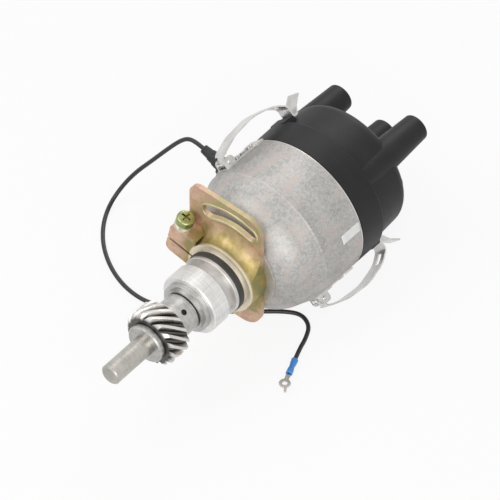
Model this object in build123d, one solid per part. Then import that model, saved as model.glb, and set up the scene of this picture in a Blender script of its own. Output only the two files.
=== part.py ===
"""Points-type ignition distributor for a small three-cylinder engine.

Each piece is modelled standing up, with the shaft along Z, zero at the seat on which the
clamp plate bears, and the cap above it. The finished pieces are laid down, so that the
shaft runs along +X towards the cap and +Z is up. All sizes are in millimetres.
"""
from build123d import *
from math import atan2, cos, degrees, hypot, pi, radians, sin, tan
import os

# Clearances
RUNNING_GAP = 0.04
LOOSE_GAP = 0.3
FACE_GAP = 0.1

# Main shaft and bushes
SHAFT_RADIUS = 6.35
SHAFT_BOTTOM = -110.0
SHAFT_CHAMFER = 0.8
SPINDLE_RADIUS = 4.0
BUSH_WALL = 2.2
LOWER_BUSH_LENGTH = 22.0
UPPER_BUSH_LENGTH = 16.0

# Housing
RIM_HEIGHT = 60.0
BOWL_RADIUS = 45.0
BOWL_WALL = 3.4
BOWL_FLOOR = 9.0
BEVEL_TOP = 27.0
BEVEL_BOTTOM = 18.0
BEVEL_STEP = 3.2
BEVEL_RADIUS = BOWL_RADIUS - BEVEL_STEP
BELLY_BULGE = 4.2
SEAT_RADIUS = 28.5
SEAT_HEIGHT = 1.6
SHANK_RADIUS = 19.5
SHANK_LENGTH = 41.0
PILOT_LENGTH = 13.0
NECK_RADIUS = 17.0
NECK_LENGTH = 6.0
NOTCH_RADIUS = 1.5
NOTCH_ANGLE = 76.0
NOTCH_DEPTH = 3.0
PIN_TURN = 49.0
PLATE_LEDGE = 33.0
LEDGE_WIDTH = 3.0
SHANK_CHAMFER = 0.8
SHAFT_ROOM = 0.8
RIM_CHAMFER = 0.6
BOSS_RADIUS = 8.0
BOSS_HEIGHT = 2.0
BOSS_ROOT = 2.5
OVERCUT = 1.0

# O-ring
O_RING_HEIGHT = -17.7
O_RING_SECTION = 1.3
GROOVE_DEPTH = 2.3

# Clamp plate
PLATE_THICKNESS = 3.0
COLLAR_LENGTH = 11.0
COLLAR_WALL = 3.4
FLARE_RADIUS = 33.0
PLATE_RIGHT = 31.5
PLATE_LEFT = 21.2
PLATE_BOTTOM = 38.5
PLATE_CORNER = 50.0
COVE = ((9.0, -22.0), (20.0, -2.0), (31.5, 12.0))
PLATE_ROUNDS = (8.0, 11.0, 14.0, 7.0)
EAR_ROUND = 4.0
BORE_GAP = 0.06
SPLIT_ANGLE = 11.7
SPLIT_WIDTH = 1.6
EAR_REACH = 39.5
EAR_UPPER = 13.5
EAR_LOWER = 10.0
SLOT_CENTRE_RADIUS = 39.0
SLOT_WIDTH = 8.4
SLOT_START = 64.0
SLOT_END = 110.0
CLAMP_SCREW_RADIUS = 3.0
CLAMP_SCREW_DROP = 6.4
CLAMP_SCREW_REACH = 33.6
CLAMP_HEAD_RADIUS = 5.4
CLAMP_HEAD_HEIGHT = 4.6
WASHER_RADIUS = 5.9
FLAT_WASHER_HEIGHT = 1.4
LOCK_WASHER_HEIGHT = 1.9

# Drive gear
GEAR_TEETH = 15
GEAR_TIP_RADIUS = 17.8
GEAR_ROOT_RADIUS = 14.4
GEAR_HELIX = 42.0
GEAR_BOTTOM = -80.0
TEETH_BOTTOM = -76.0
TEETH_TOP = -58.5
GEAR_HUB_RADIUS = 12.0
HUB_TOP = -46.0
PIN_HEIGHT = -53.4
PIN_RADIUS = 1.75
PIN_RECESS = 1.2
THRUST_RADIUS = 15.8
THRUST_BOSS_RADIUS = 13.7

# Advance mechanism
ADVANCE_ROOM = 7.6
ADVANCE_PLATE_RADIUS = BOWL_RADIUS - BOWL_WALL - LEDGE_WIDTH - ADVANCE_ROOM
ADVANCE_PLATE_HALF_WIDTH = 21.0
ADVANCE_PLATE_HEIGHT = 14.0
ADVANCE_PLATE_THICKNESS = 2.0
WEIGHT_THICKNESS = 5.0
WEIGHT_INSET = 3.0
WEIGHT_WIDTH = 14.5
WEIGHT_OUTER = ADVANCE_PLATE_RADIUS - WEIGHT_INSET
WEIGHT_INNER = WEIGHT_OUTER - WEIGHT_WIDTH
WEIGHT_HALF_GAP = 4.0
WEIGHT_TAIL = 16.0
WEIGHT_EYE_RADIUS = 5.0
WEIGHT_PIVOT_RADIUS = WEIGHT_OUTER - WEIGHT_EYE_RADIUS
WEIGHT_PIN_RADIUS = 2.0
WEIGHT_SWING = 12.0
DRIVE_PIN_RADIUS = 1.5
DRIVE_PIN_INSET = 12.0
DRIVE_PIN_REACH = WEIGHT_OUTER - DRIVE_PIN_INSET
DRIVE_SLOT_GAP = 0.35
SPRING_POST_RADIUS = 1.3
SPRING_COIL_RADIUS = 1.9
SPRING_WIRE_RADIUS = 0.35

# Cam and rotor
CAM_BORE_GAP = 0.05
CAM_SLEEVE_RADIUS = 6.6
CAM_FOOT_RADIUS = WEIGHT_OUTER + 0.5
SPRING_POST_REACH = CAM_FOOT_RADIUS - 2.0
CAM_FOOT_WIDTH = 10.0
CAM_FOOT_THICKNESS = 2.0
CAM_LOBE_RADIUS = 12.2
CAM_FLAT_RADIUS = 10.6
CAM_RISE = 5.5
CAM_HEIGHT = 9.0
CAM_BOTTOM = PLATE_LEDGE + CAM_RISE
CAM_TOP = CAM_BOTTOM + CAM_HEIGHT
KEY_DEPTH = 1.6
KEY_HALF = 1.5
ROTOR_RISE = 6.5
ROTOR_GRIP = 12.0
ROTOR_BOTTOM = CAM_TOP + ROTOR_RISE
CAM_SLEEVE_TOP = ROTOR_BOTTOM + ROTOR_GRIP
ROTOR_HUB_RADIUS = 11.0
ROTOR_CROWN = 4.0
ROTOR_STEP = 14.0
ROTOR_SHOULDER = CAM_SLEEVE_TOP + ROTOR_CROWN
ROTOR_TOP = ROTOR_SHOULDER + ROTOR_STEP
ROTOR_ARM_WIDTH = 12.0
ELECTRODE_THICKNESS = 1.4
ELECTRODE_WIDTH = 6.4

# Breaker plate and contact set
BREAKER_THICKNESS = 2.0
BREAKER_BORE = 15.0
ARM_LINE = 19.5
ARM_THICKNESS = 1.6
ARM_WIDTH = 5.0
ARM_CLEARANCE = 5.5
ARM_HEIGHT = PLATE_LEDGE + BREAKER_THICKNESS + ARM_CLEARANCE
INNER_RADIUS = BOWL_RADIUS - BOWL_WALL
CONTACT_PIVOT_X = -(INNER_RADIUS - 18.6)
CONTACT_X = 15.0
CONTACT_SHEET = 1.2
CONTACT_BASE_END = INNER_RADIUS - 10.1
LOCK_SCREW_X = CONTACT_BASE_END - 4.5
TERMINAL_X = -10.0
TERMINAL_BASE_RADIUS = 3.4
TERMINAL_BASE_HEIGHT = 5.0
STUD_RADIUS = 1.3
STUD_OFFSET = 1.2
NUT_RADIUS = 2.6
NUT_HEIGHT = 2.2
NUT_DROP = 3.0
LEAF_REST = 1.0
LEAF_TURN = 0.6
LEAF_BEND = 0.64
LEAF_HOOK = 0.24
TERMINAL_Y = INNER_RADIUS - 7.5
CONTACT_RADIUS = 2.1
CONTACT_GAP = 0.45
RUBBING_GAP = 0.12
POST_RADIUS = 2.5
CONDENSER_RADIUS = 8.0
CONDENSER_LENGTH = 24.0
CONDENSER_CIRCLE = INNER_RADIUS - 14.1
STRAP_SCREW_CIRCLE = INNER_RADIUS - 8.6
SCREW_RADIUS = 2.0
SCREW_HEAD_RADIUS = 3.6
SCREW_HEAD_HEIGHT = 2.2

# Cap
CAP_WALL = 3.4
ROOF_THICKNESS = 5.0
ROOF_ROOM = 16.0
SKIRT_HEIGHT = 18.5
SKIRT_STEP = 2.6
CAP_DRAFT = 1.4
SKIRT_TOP = RIM_HEIGHT + SKIRT_HEIGHT
CAP_SHOULDER_RADIUS = BOWL_RADIUS - SKIRT_STEP
CAP_CROWN_RADIUS = CAP_SHOULDER_RADIUS - CAP_DRAFT
CAP_CROWN = ROTOR_TOP + ROOF_ROOM + ROOF_THICKNESS
CROWN_ROUND = 7.0
SPIGOT_DEPTH = 2.5
SPIGOT_WALL = 2.4
TOWER_INSET = 12.0
TOWER_CIRCLE = BOWL_RADIUS - TOWER_INSET
TOWER_BASE_RADIUS = 10.6
TOWER_NECK_RADIUS = 9.9
TOWER_TIP_RADIUS = 8.3
TOWER_HEIGHT = 27.5
CENTRE_TOWER_HEIGHT = 30.0
TOWER_TOP = CAP_CROWN + TOWER_HEIGHT
CENTRE_TOWER_TOP = CAP_CROWN + CENTRE_TOWER_HEIGHT
TOWER_ROUND = 1.2
SOCKET_RADIUS = 4.3
SOCKET_DEPTH = 22.0
TERMINAL_RADIUS = 3.2
SPARK_GAP = 2.2
ELECTRODE_REACH = TOWER_CIRCLE - TERMINAL_RADIUS - SPARK_GAP
TOWER_COUNT = 3
FIRST_TOWER_ANGLE = 17.2
BRUSH_RADIUS = 2.4
BRUSH_LENGTH = 6.5

# Cap clips
CLIP_ANGLES = (42.7, 222.7)
CLIP_THICKNESS = 0.9
CLIP_WIDTH = 11.0
CLIP_EYE_WIDTH = 6.6
CLIP_PIN_DROP = 27.0
CLIP_PIN_HEIGHT = RIM_HEIGHT - CLIP_PIN_DROP
CLIP_PIN_OFFSET = 3.2
CLIP_PIN_RADIUS = 1.2
CLIP_SLOT_WIDTH = 4.0
BRACKET_WIDTH = 9.4
BRACKET_SHEET = 1.1
BRACKET_FOOT_EXTRA = 1.6
RIVET_RADIUS = 1.8
LUG_WIDTH = 15.0
LUG_HEIGHT = 6.1
LUG_FRONT = SKIRT_TOP + LUG_HEIGHT

# Lead
GROMMET_ANGLE = 16.0
GROMMET_DROP = 2.0
GROMMET_HEIGHT = (PLATE_LEDGE + RIM_HEIGHT) / 2 - GROMMET_DROP
GROMMET_NOSE = 18.7
GROMMET_REACH = BOWL_RADIUS + GROMMET_NOSE
GROMMET_TIP_RADIUS = 2.9
GROMMET_BASE_RADIUS = 4.9
LEAD_RADIUS = 1.3
SLEEVE_RADIUS = 2.1
SLEEVE_LENGTH = 12.0
FORK_LENGTH = 14.5
FORK_RING_RADIUS = 3.4
FORK_HOLE_RADIUS = 1.6
FORK_SHEET = 0.9
FLOOR = -BOWL_RADIUS

LAID_DOWN = Plane(origin=(0, 0, 0), x_dir=(0, 1, 0), z_dir=(1, 0, 0)).location


def turned(*points):
    """Solid of revolution about Z from (radius, height) points."""
    outline = Polyline(*[(r, 0, h) for r, h in points], close=True)
    return revolve(make_face(outline), Axis.Z)


def tube(inner, outer, low, high):
    """Ring about Z between two radii and two heights."""
    return turned((inner, low), (outer, low), (outer, high), (inner, high))


def rod(radius, low, high, x=0.0, y=0.0):
    """Upright cylinder."""
    return Pos(x, y, low) * extrude(Circle(radius), high - low)


def block(x0, x1, y0, y1, z0, z1):
    """Box between two corners."""
    centre = Pos((x0 + x1) / 2, (y0 + y1) / 2, (z0 + z1) / 2)
    return centre * Box(x1 - x0, y1 - y0, z1 - z0)


def round_about(shape, angle):
    """Turn a shape about the shaft."""
    return Rot(0, 0, angle) * shape


def polar(radius, angle):
    """Point at a radius and an angle about the shaft."""
    return radius * cos(radians(angle)), radius * sin(radians(angle))


def cross_rod(radius, start, length, direction):
    """Cylinder from a point along a direction."""
    return Plane(origin=start, z_dir=direction) * extrude(Circle(radius), length)


def sheet_strip(points, radii, thickness, width):
    """Strip of sheet bent in the XZ plane, centred across Y."""
    line = FilletPolyline(*points, radius=radii)
    band = trace(Plane.XZ.to_local_coords(line), thickness)
    return Plane.XZ * extrude(band, width / 2, both=True)


def screw_slot(shape, top, x, y, radius):
    """Straight driver slot cut into a screw head."""
    slot = block(-radius, radius, -0.5, 0.5, top - 1.0, top + 1.0)
    return shape - Pos(x, y, 0) * slot


# Housing

def make_housing():
    """Bowl, seat flange and shank in one casting, with its bores and ledge."""
    shank = turned(
        (0, -SHANK_LENGTH),
        (SHANK_RADIUS - SHANK_CHAMFER, -SHANK_LENGTH),
        (SHANK_RADIUS, -SHANK_LENGTH + SHANK_CHAMFER),
        (SHANK_RADIUS, -SHANK_LENGTH + PILOT_LENGTH - SHANK_CHAMFER),
        (SHANK_RADIUS - SHANK_CHAMFER, -SHANK_LENGTH + PILOT_LENGTH),
        (NECK_RADIUS, -SHANK_LENGTH + PILOT_LENGTH),
        (NECK_RADIUS, -SHANK_LENGTH + PILOT_LENGTH + NECK_LENGTH),
        (SHANK_RADIUS - 0.5, -SHANK_LENGTH + PILOT_LENGTH + NECK_LENGTH),
        (SHANK_RADIUS, -SHANK_LENGTH + PILOT_LENGTH + NECK_LENGTH + 0.5),
        (SHANK_RADIUS, SEAT_HEIGHT),
        (0, SEAT_HEIGHT),
    )
    flange = rod(SEAT_RADIUS, 0, SEAT_HEIGHT)
    belly = ThreePointArc(
        (SEAT_RADIUS - 0.5, 0, SEAT_HEIGHT),
        (BEVEL_RADIUS - BELLY_BULGE, 0, BEVEL_BOTTOM / 2),
        (BEVEL_RADIUS, 0, BEVEL_BOTTOM),
    )
    side = Polyline(
        (BEVEL_RADIUS, 0, BEVEL_BOTTOM),
        (BOWL_RADIUS - 0.5, 0, BEVEL_TOP - 1),
        (BOWL_RADIUS, 0, BEVEL_TOP),
        (BOWL_RADIUS, 0, RIM_HEIGHT - RIM_CHAMFER),
        (BOWL_RADIUS - RIM_CHAMFER, 0, RIM_HEIGHT),
        (0, 0, RIM_HEIGHT),
        (0, 0, SEAT_HEIGHT),
        (SEAT_RADIUS - 0.5, 0, SEAT_HEIGHT),
    )
    bowl = revolve(make_face([belly, *side.edges()]), Axis.Z)
    inner = BOWL_RADIUS - BOWL_WALL
    hollow = turned(
        (0, BOWL_FLOOR),
        (SEAT_RADIUS, BOWL_FLOOR),
        (inner - LEDGE_WIDTH, BEVEL_BOTTOM + 2),
        (inner - LEDGE_WIDTH, PLATE_LEDGE),
        (inner, PLATE_LEDGE),
        (inner, RIM_HEIGHT + OVERCUT),
        (0, RIM_HEIGHT + OVERCUT),
    )
    shape = shank + flange + bowl - hollow
    shape -= rod(SHAFT_RADIUS + BUSH_WALL, -SHANK_LENGTH - OVERCUT, -SHANK_LENGTH + LOWER_BUSH_LENGTH)
    shape -= rod(SHAFT_RADIUS + BUSH_WALL, BOWL_FLOOR - UPPER_BUSH_LENGTH, BOWL_FLOOR + OVERCUT)
    shape -= rod(SHAFT_RADIUS + SHAFT_ROOM, -SHANK_LENGTH, BOWL_FLOOR)
    shape -= tube(
        SHANK_RADIUS - GROOVE_DEPTH,
        SHANK_RADIUS + 1,
        O_RING_HEIGHT - O_RING_SECTION - 0.1,
        O_RING_HEIGHT + O_RING_SECTION + 0.1,
    )
    x, y = polar(SHANK_RADIUS, NOTCH_ANGLE)
    shape -= rod(NOTCH_RADIUS, -SHANK_LENGTH - OVERCUT, -SHANK_LENGTH + NOTCH_DEPTH, x, y)
    boss = Pos(BOWL_RADIUS - BOSS_ROOT, 0, GROMMET_HEIGHT) * Rot(0, 90, 0)
    boss *= extrude(Circle(BOSS_RADIUS), BOSS_ROOT + BOSS_HEIGHT)
    entry = Pos(inner - 3, 0, GROMMET_HEIGHT) * Rot(0, 90, 0) * extrude(Circle(GROMMET_BASE_RADIUS), 12)
    shape = shape + round_about(boss, GROMMET_ANGLE) - round_about(entry, GROMMET_ANGLE)
    for angle in CLIP_ANGLES:
        for height in rivet_heights():
            hole = Pos(inner - 2, 0, height) * Rot(0, 90, 0) * extrude(Circle(RIVET_RADIUS), 8)
            shape -= round_about(hole, angle)
    for x, y in plate_screw_places():
        boss = rod(SCREW_HEAD_RADIUS + 0.6, BEVEL_BOTTOM, PLATE_LEDGE, x, y)
        shape += boss & rod(BOWL_RADIUS - 1, 0, RIM_HEIGHT)
        shape -= rod(SCREW_RADIUS, PLATE_LEDGE - 8, PLATE_LEDGE + 1, x, y)
    return shape


def make_bush(low, length):
    """Plain bearing pressed into the housing."""
    return tube(SHAFT_RADIUS + RUNNING_GAP, SHAFT_RADIUS + BUSH_WALL, low, low + length)


def make_o_ring():
    """Rubber seal in the shank's groove."""
    centre = SHANK_RADIUS - GROOVE_DEPTH + O_RING_SECTION + 0.05
    return Pos(0, 0, O_RING_HEIGHT) * Torus(centre, O_RING_SECTION)


# Clamp

def make_clamp_plate():
    """Plate with arc slot, flared split collar and two ears."""
    corners = [
        (PLATE_RIGHT, PLATE_CORNER),
        (-PLATE_LEFT, PLATE_CORNER - 2.0),
        (-PLATE_LEFT, -PLATE_BOTTOM),
        (4.0, -PLATE_BOTTOM),
        *COVE,
    ]
    outline = Polyline(*corners, close=True)
    plate = make_face(outline)
    for corner, size in zip(corners, PLATE_ROUNDS):
        vertex = plate.vertices().sort_by_distance((corner[0], corner[1], 0))[0]
        plate = fillet(vertex, size)
    flat = Pos(0, 0, -PLATE_THICKNESS) * extrude(plate, PLATE_THICKNESS)
    bore = SHANK_RADIUS + BORE_GAP
    outer = bore + COLLAR_WALL
    bottom = -PLATE_THICKNESS - COLLAR_LENGTH
    flare_edge = ThreePointArc(
        (outer, 0, bottom + 2.5),
        (outer + 2.6, 0, -PLATE_THICKNESS - 3.2),
        (FLARE_RADIUS, 0, -PLATE_THICKNESS + 0.2),
    )
    rest = Polyline(
        (FLARE_RADIUS, 0, -PLATE_THICKNESS + 0.2),
        (FLARE_RADIUS, 0, -FACE_GAP),
        (bore, 0, -FACE_GAP),
        (bore, 0, bottom),
        (outer, 0, bottom),
        (outer, 0, bottom + 2.5),
    )
    flare = revolve(make_face([flare_edge, *rest.edges()]), Axis.Z)
    collar = tube(bore, outer, bottom, -FACE_GAP)
    column = Pos(0, 0, bottom) * extrude(plate, -bottom)
    ears = block(bore + 1.5, EAR_REACH, -EAR_LOWER, EAR_UPPER, bottom, -PLATE_THICKNESS)
    ears = fillet(ears.edges().filter_by(Axis.Z).sort_by(Axis.X)[-2:], EAR_ROUND)
    ears = round_about(ears, SPLIT_ANGLE)
    shape = flat + (flare & column) + collar + ears
    shape -= rod(bore, bottom - 1, 1)
    shape -= tube(0.1, EAR_REACH * 2, -FACE_GAP, 2)
    split = block(0, EAR_REACH + 5, -SPLIT_WIDTH / 2, SPLIT_WIDTH / 2, bottom - 1, 1)
    shape -= round_about(split, SPLIT_ANGLE)
    hole = Pos(CLAMP_SCREW_REACH, 20, clamp_screw_height()) * Rot(90, 0, 0)
    hole = hole * extrude(Circle(CLAMP_SCREW_RADIUS), 40)
    shape -= round_about(hole, SPLIT_ANGLE)
    middle = CenterArc((0, 0), SLOT_CENTRE_RADIUS, SLOT_START, SLOT_END - SLOT_START)
    slot = Pos(0, 0, -PLATE_THICKNESS - 1) * extrude(SlotArc(middle, SLOT_WIDTH), PLATE_THICKNESS + 2)
    spot_face = across_split(rod(WASHER_RADIUS + LOOSE_GAP, EAR_UPPER, EAR_UPPER + 9.0))
    return shape - slot - spot_face


def clamp_screw_height():
    """Height of the clamp screw's axis, below the plate."""
    return -PLATE_THICKNESS - CLAMP_SCREW_DROP


def across_split(shape):
    """Place a piece made along Z from the split's middle on the clamp screw's axis."""
    place = Pos(CLAMP_SCREW_REACH, 0, clamp_screw_height()) * Rot(-90, 0, 0)
    return round_about(place * shape, SPLIT_ANGLE)


def make_clamp_screw():
    """Cross-recess pan-head screw through both ears."""
    seat = EAR_UPPER + FLAT_WASHER_HEIGHT + LOCK_WASHER_HEIGHT
    shank = rod(CLAMP_SCREW_RADIUS, -EAR_LOWER - 2.5, seat)
    head = rod(CLAMP_HEAD_RADIUS, seat, seat + CLAMP_HEAD_HEIGHT)
    head = fillet(head.edges().sort_by(Axis.Z)[-1], 1.6)
    top = seat + CLAMP_HEAD_HEIGHT
    cross = block(-3.0, 3.0, -0.6, 0.6, top - 2.2, top + 1)
    cross += block(-0.6, 0.6, -3.0, 3.0, top - 2.2, top + 1)
    return across_split(shank + head - cross)


def make_clamp_washer(low, height, radius, gap):
    """Flat washer, or a split spring washer where a gap is given."""
    ring = tube(CLAMP_SCREW_RADIUS + 0.15, radius, low, low + height)
    if gap:
        cut = Pos((CLAMP_SCREW_RADIUS + radius) / 2, 0, low + height / 2) * Rot(30, 0, 0)
        ring -= cut * Box(radius, gap, height * 4)
    return across_split(ring)


# Shaft and gear

def make_main_shaft():
    """Drive shaft, with the thinner spindle that carries the cam above the advance plate."""
    top = ADVANCE_PLATE_HEIGHT + ADVANCE_PLATE_THICKNESS
    shape = turned(
        (0, SHAFT_BOTTOM),
        (SHAFT_RADIUS - SHAFT_CHAMFER, SHAFT_BOTTOM),
        (SHAFT_RADIUS, SHAFT_BOTTOM + SHAFT_CHAMFER),
        (SHAFT_RADIUS, top),
        (SPINDLE_RADIUS, top),
        (SPINDLE_RADIUS, CAM_SLEEVE_TOP - 6.5),
        (SPINDLE_RADIUS - 0.5, CAM_SLEEVE_TOP - 6),
        (0, CAM_SLEEVE_TOP - 6),
    )
    return shape - cross_pin_hole()


def cross_pin_hole():
    """Hole for the pin that holds the gear, facing along NOTCH_ANGLE."""
    hole = Pos(0, 0, PIN_HEIGHT) * Rot(0, 90, 0) * extrude(Circle(PIN_RADIUS), 30, both=True)
    return round_about(hole, NOTCH_ANGLE + PIN_TURN)


def make_gear_pin():
    """Cross pin through hub and shaft, a little below the hub's surface."""
    half = GEAR_HUB_RADIUS - PIN_RECESS
    pin = Pos(-half, 0, PIN_HEIGHT) * Rot(0, 90, 0) * extrude(Circle(PIN_RADIUS), 2 * half)
    pin = chamfer(pin.edges(), 0.3)
    return round_about(pin, NOTCH_ANGLE + PIN_TURN)


def tooth_outline():
    """Outline of all the teeth, square to the shaft."""
    pitch = 360 / GEAR_TEETH
    points = []
    for tooth in range(GEAR_TEETH):
        start = tooth * pitch
        points.append(polar(GEAR_ROOT_RADIUS, start + 0.08 * pitch))
        points.append(polar(GEAR_TIP_RADIUS, start + 0.31 * pitch))
        points.append(polar(GEAR_TIP_RADIUS, start + 0.62 * pitch))
        points.append(polar(GEAR_ROOT_RADIUS, start + 0.85 * pitch))
    return make_face(Polyline(*points, close=True))


def make_drive_gear():
    """Helical gear with a plain collar below and a long pinned hub above."""
    width = TEETH_TOP - TEETH_BOTTOM
    pitch_radius = (GEAR_TIP_RADIUS + GEAR_ROOT_RADIUS) / 2
    twist = degrees(width * tan(radians(GEAR_HELIX)) / pitch_radius)
    teeth = Solid.extrude_linear_with_rotation(
        tooth_outline().face(), (0, 0, 0), (0, 0, width), twist
    )
    teeth = Pos(0, 0, TEETH_BOTTOM) * teeth
    run_out = GEAR_TIP_RADIUS - GEAR_HUB_RADIUS
    envelope = turned(
        (0, TEETH_BOTTOM),
        (GEAR_ROOT_RADIUS + 1.2, TEETH_BOTTOM),
        (GEAR_TIP_RADIUS + 0.1, TEETH_BOTTOM + 2.2),
        (GEAR_TIP_RADIUS + 0.1, TEETH_TOP - run_out * 0.55),
        (GEAR_HUB_RADIUS, TEETH_TOP),
        (0, TEETH_TOP),
    )
    hub = turned(
        (0, GEAR_BOTTOM),
        (GEAR_HUB_RADIUS - 0.5, GEAR_BOTTOM),
        (GEAR_HUB_RADIUS + 0.3, GEAR_BOTTOM + 0.8),
        (GEAR_HUB_RADIUS + 0.3, TEETH_BOTTOM + 1),
        (GEAR_HUB_RADIUS, TEETH_BOTTOM + 2),
        (GEAR_HUB_RADIUS, HUB_TOP - 0.6),
        (GEAR_HUB_RADIUS - 0.6, HUB_TOP),
        (0, HUB_TOP),
    )
    shape = (teeth & envelope) + hub
    shape -= rod(SHAFT_RADIUS, GEAR_BOTTOM - 1, HUB_TOP + 1)
    return shape - cross_pin_hole()


def make_thrust_washer():
    """Stepped washer between the hub and the shank's end face."""
    top = -SHANK_LENGTH - FACE_GAP
    step = HUB_TOP + 1.6
    return turned(
        (SHAFT_RADIUS + RUNNING_GAP, HUB_TOP),
        (THRUST_BOSS_RADIUS, HUB_TOP),
        (THRUST_BOSS_RADIUS, step),
        (THRUST_RADIUS, step),
        (THRUST_RADIUS, top),
        (SHAFT_RADIUS + RUNNING_GAP, top),
    )


# Advance mechanism

def weight_level():
    """Height of the underside of the advance weights."""
    return ADVANCE_PLATE_HEIGHT + ADVANCE_PLATE_THICKNESS + FACE_GAP


def make_advance_plate():
    """Plate on the shaft with the two pivot pins, which also hold the springs."""
    low = ADVANCE_PLATE_HEIGHT
    high = low + ADVANCE_PLATE_THICKNESS
    disc = rod(ADVANCE_PLATE_RADIUS, low, high)
    reach = ADVANCE_PLATE_RADIUS + OVERCUT
    cheek = block(-reach, reach, ADVANCE_PLATE_HALF_WIDTH, reach, low - 1, high + 1)
    shape = disc - cheek - round_about(cheek, 180) - rod(SPINDLE_RADIUS, low - 1, high + 1)
    shape -= rod(SHAFT_RADIUS, low - 1, high)
    for side in (0, 180):
        x, y = polar(WEIGHT_PIVOT_RADIUS, side)
        shape += rod(WEIGHT_PIN_RADIUS, high - 0.5, spring_level() + 1.6, x, y)
    return shape


def make_advance_weight():
    """Crescent weight round one pivot pin, the other is the same turned half round."""
    low = weight_level()
    high = low + WEIGHT_THICKNESS
    crescent = tube(WEIGHT_INNER, WEIGHT_OUTER, low, high)
    past = WEIGHT_OUTER + OVERCUT
    keep = block(-WEIGHT_TAIL, past, WEIGHT_HALF_GAP, past, low - 1, high + 1)
    x, y = polar(WEIGHT_PIVOT_RADIUS, 0)
    eye = rod(WEIGHT_EYE_RADIUS, low, high, x, y)
    neck = block(x - WEIGHT_EYE_RADIUS, x + WEIGHT_EYE_RADIUS, 0, 8, low, high)
    shape = (crescent & keep) + eye + neck
    shape += rod(DRIVE_PIN_RADIUS, high - 0.5, high + CAM_FOOT_THICKNESS + 1.2, 0, DRIVE_PIN_REACH)
    return shape - rod(WEIGHT_PIN_RADIUS + RUNNING_GAP, low - 1, high + 1, x, y)


def cam_foot_level():
    """Height of the underside of the cam's foot plate."""
    return weight_level() + WEIGHT_THICKNESS + 0.4


def spring_level():
    """Height of the middle of the advance springs."""
    return cam_foot_level() + CAM_FOOT_THICKNESS + SPRING_COIL_RADIUS + LOOSE_GAP


def drive_slot():
    """Slot in the foot that a weight's drive pin slides along as the weight swings out."""
    swing = radians(WEIGHT_SWING)
    lift = DRIVE_PIN_REACH * cos(swing) + WEIGHT_PIVOT_RADIUS * sin(swing)
    aside = WEIGHT_PIVOT_RADIUS * (1 - cos(swing)) + DRIVE_PIN_REACH * sin(swing)
    far = hypot(lift, aside)
    half = DRIVE_PIN_RADIUS + DRIVE_SLOT_GAP
    low = cam_foot_level() - 1
    length = far - DRIVE_PIN_REACH + 2 * half
    middle = (far + DRIVE_PIN_REACH) / 2
    slot = extrude(SlotOverall(length, 2 * half), CAM_FOOT_THICKNESS + 2)
    return Pos(0, middle, low) * Rot(0, 0, 90) * slot


def make_cam():
    """Sleeve on the spindle with foot plate, three lobes and a keyed top for the rotor."""
    low = cam_foot_level()
    high = low + CAM_FOOT_THICKNESS
    half = CAM_FOOT_WIDTH / 2
    foot = rod(CAM_FOOT_RADIUS, low, high) & block(-half, half, -CAM_FOOT_RADIUS, CAM_FOOT_RADIUS, low, high)
    foot += rod(CAM_SLEEVE_RADIUS + 3.5, low, high)
    foot -= drive_slot() + round_about(drive_slot(), 180)
    for side in (90, 270):
        x, y = polar(SPRING_POST_REACH, side)
        foot += rod(SPRING_POST_RADIUS, high - 0.5, spring_level() + 1.6, x, y)
    sleeve = rod(CAM_SLEEVE_RADIUS, weight_level(), CAM_SLEEVE_TOP)
    lobes = Circle(CAM_LOBE_RADIUS) & RegularPolygon(CAM_FLAT_RADIUS, TOWER_COUNT, major_radius=False)
    lobes = fillet(lobes.vertices(), 2.0)
    lobes = Pos(0, 0, CAM_BOTTOM) * extrude(lobes, CAM_TOP - CAM_BOTTOM)
    shape = foot + sleeve + Rot(0, 0, 90) * lobes
    shape -= rod(SPINDLE_RADIUS + CAM_BORE_GAP, 0, CAM_SLEEVE_TOP - 5)
    key = block(CAM_SLEEVE_RADIUS - KEY_DEPTH, CAM_SLEEVE_RADIUS + 1, -KEY_HALF, KEY_HALF,
                ROTOR_BOTTOM, CAM_SLEEVE_TOP + 1)
    return shape - key


def make_advance_springs():
    """Two tension springs from the pivot pins to the posts on the cam's foot."""
    springs = []
    for side in (0, 180):
        start = Vector(*polar(WEIGHT_PIVOT_RADIUS, 180 + side), spring_level())
        end = Vector(*polar(SPRING_POST_REACH, 90 + side), spring_level())
        springs.append(make_spring(start, end))
    return Compound(springs)


def make_spring(start, end):
    """Spring between two posts, as a plain hollow barrel with a ring hook at each end."""
    direction = (end - start).normalized()
    first = WEIGHT_PIN_RADIUS + LOOSE_GAP + SPRING_WIRE_RADIUS
    second = SPRING_POST_RADIUS + LOOSE_GAP + SPRING_WIRE_RADIUS
    low = start + direction * first
    length = (end - start).length - first - second
    ring = Circle(SPRING_COIL_RADIUS) - Circle(SPRING_COIL_RADIUS - 2 * SPRING_WIRE_RADIUS)
    barrel = Plane(origin=low, z_dir=direction) * extrude(ring, length)
    hooks = Pos(*start) * Torus(first, SPRING_WIRE_RADIUS) + Pos(*end) * Torus(second, SPRING_WIRE_RADIUS)
    return (barrel + hooks).solid()


# Rotor

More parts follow.
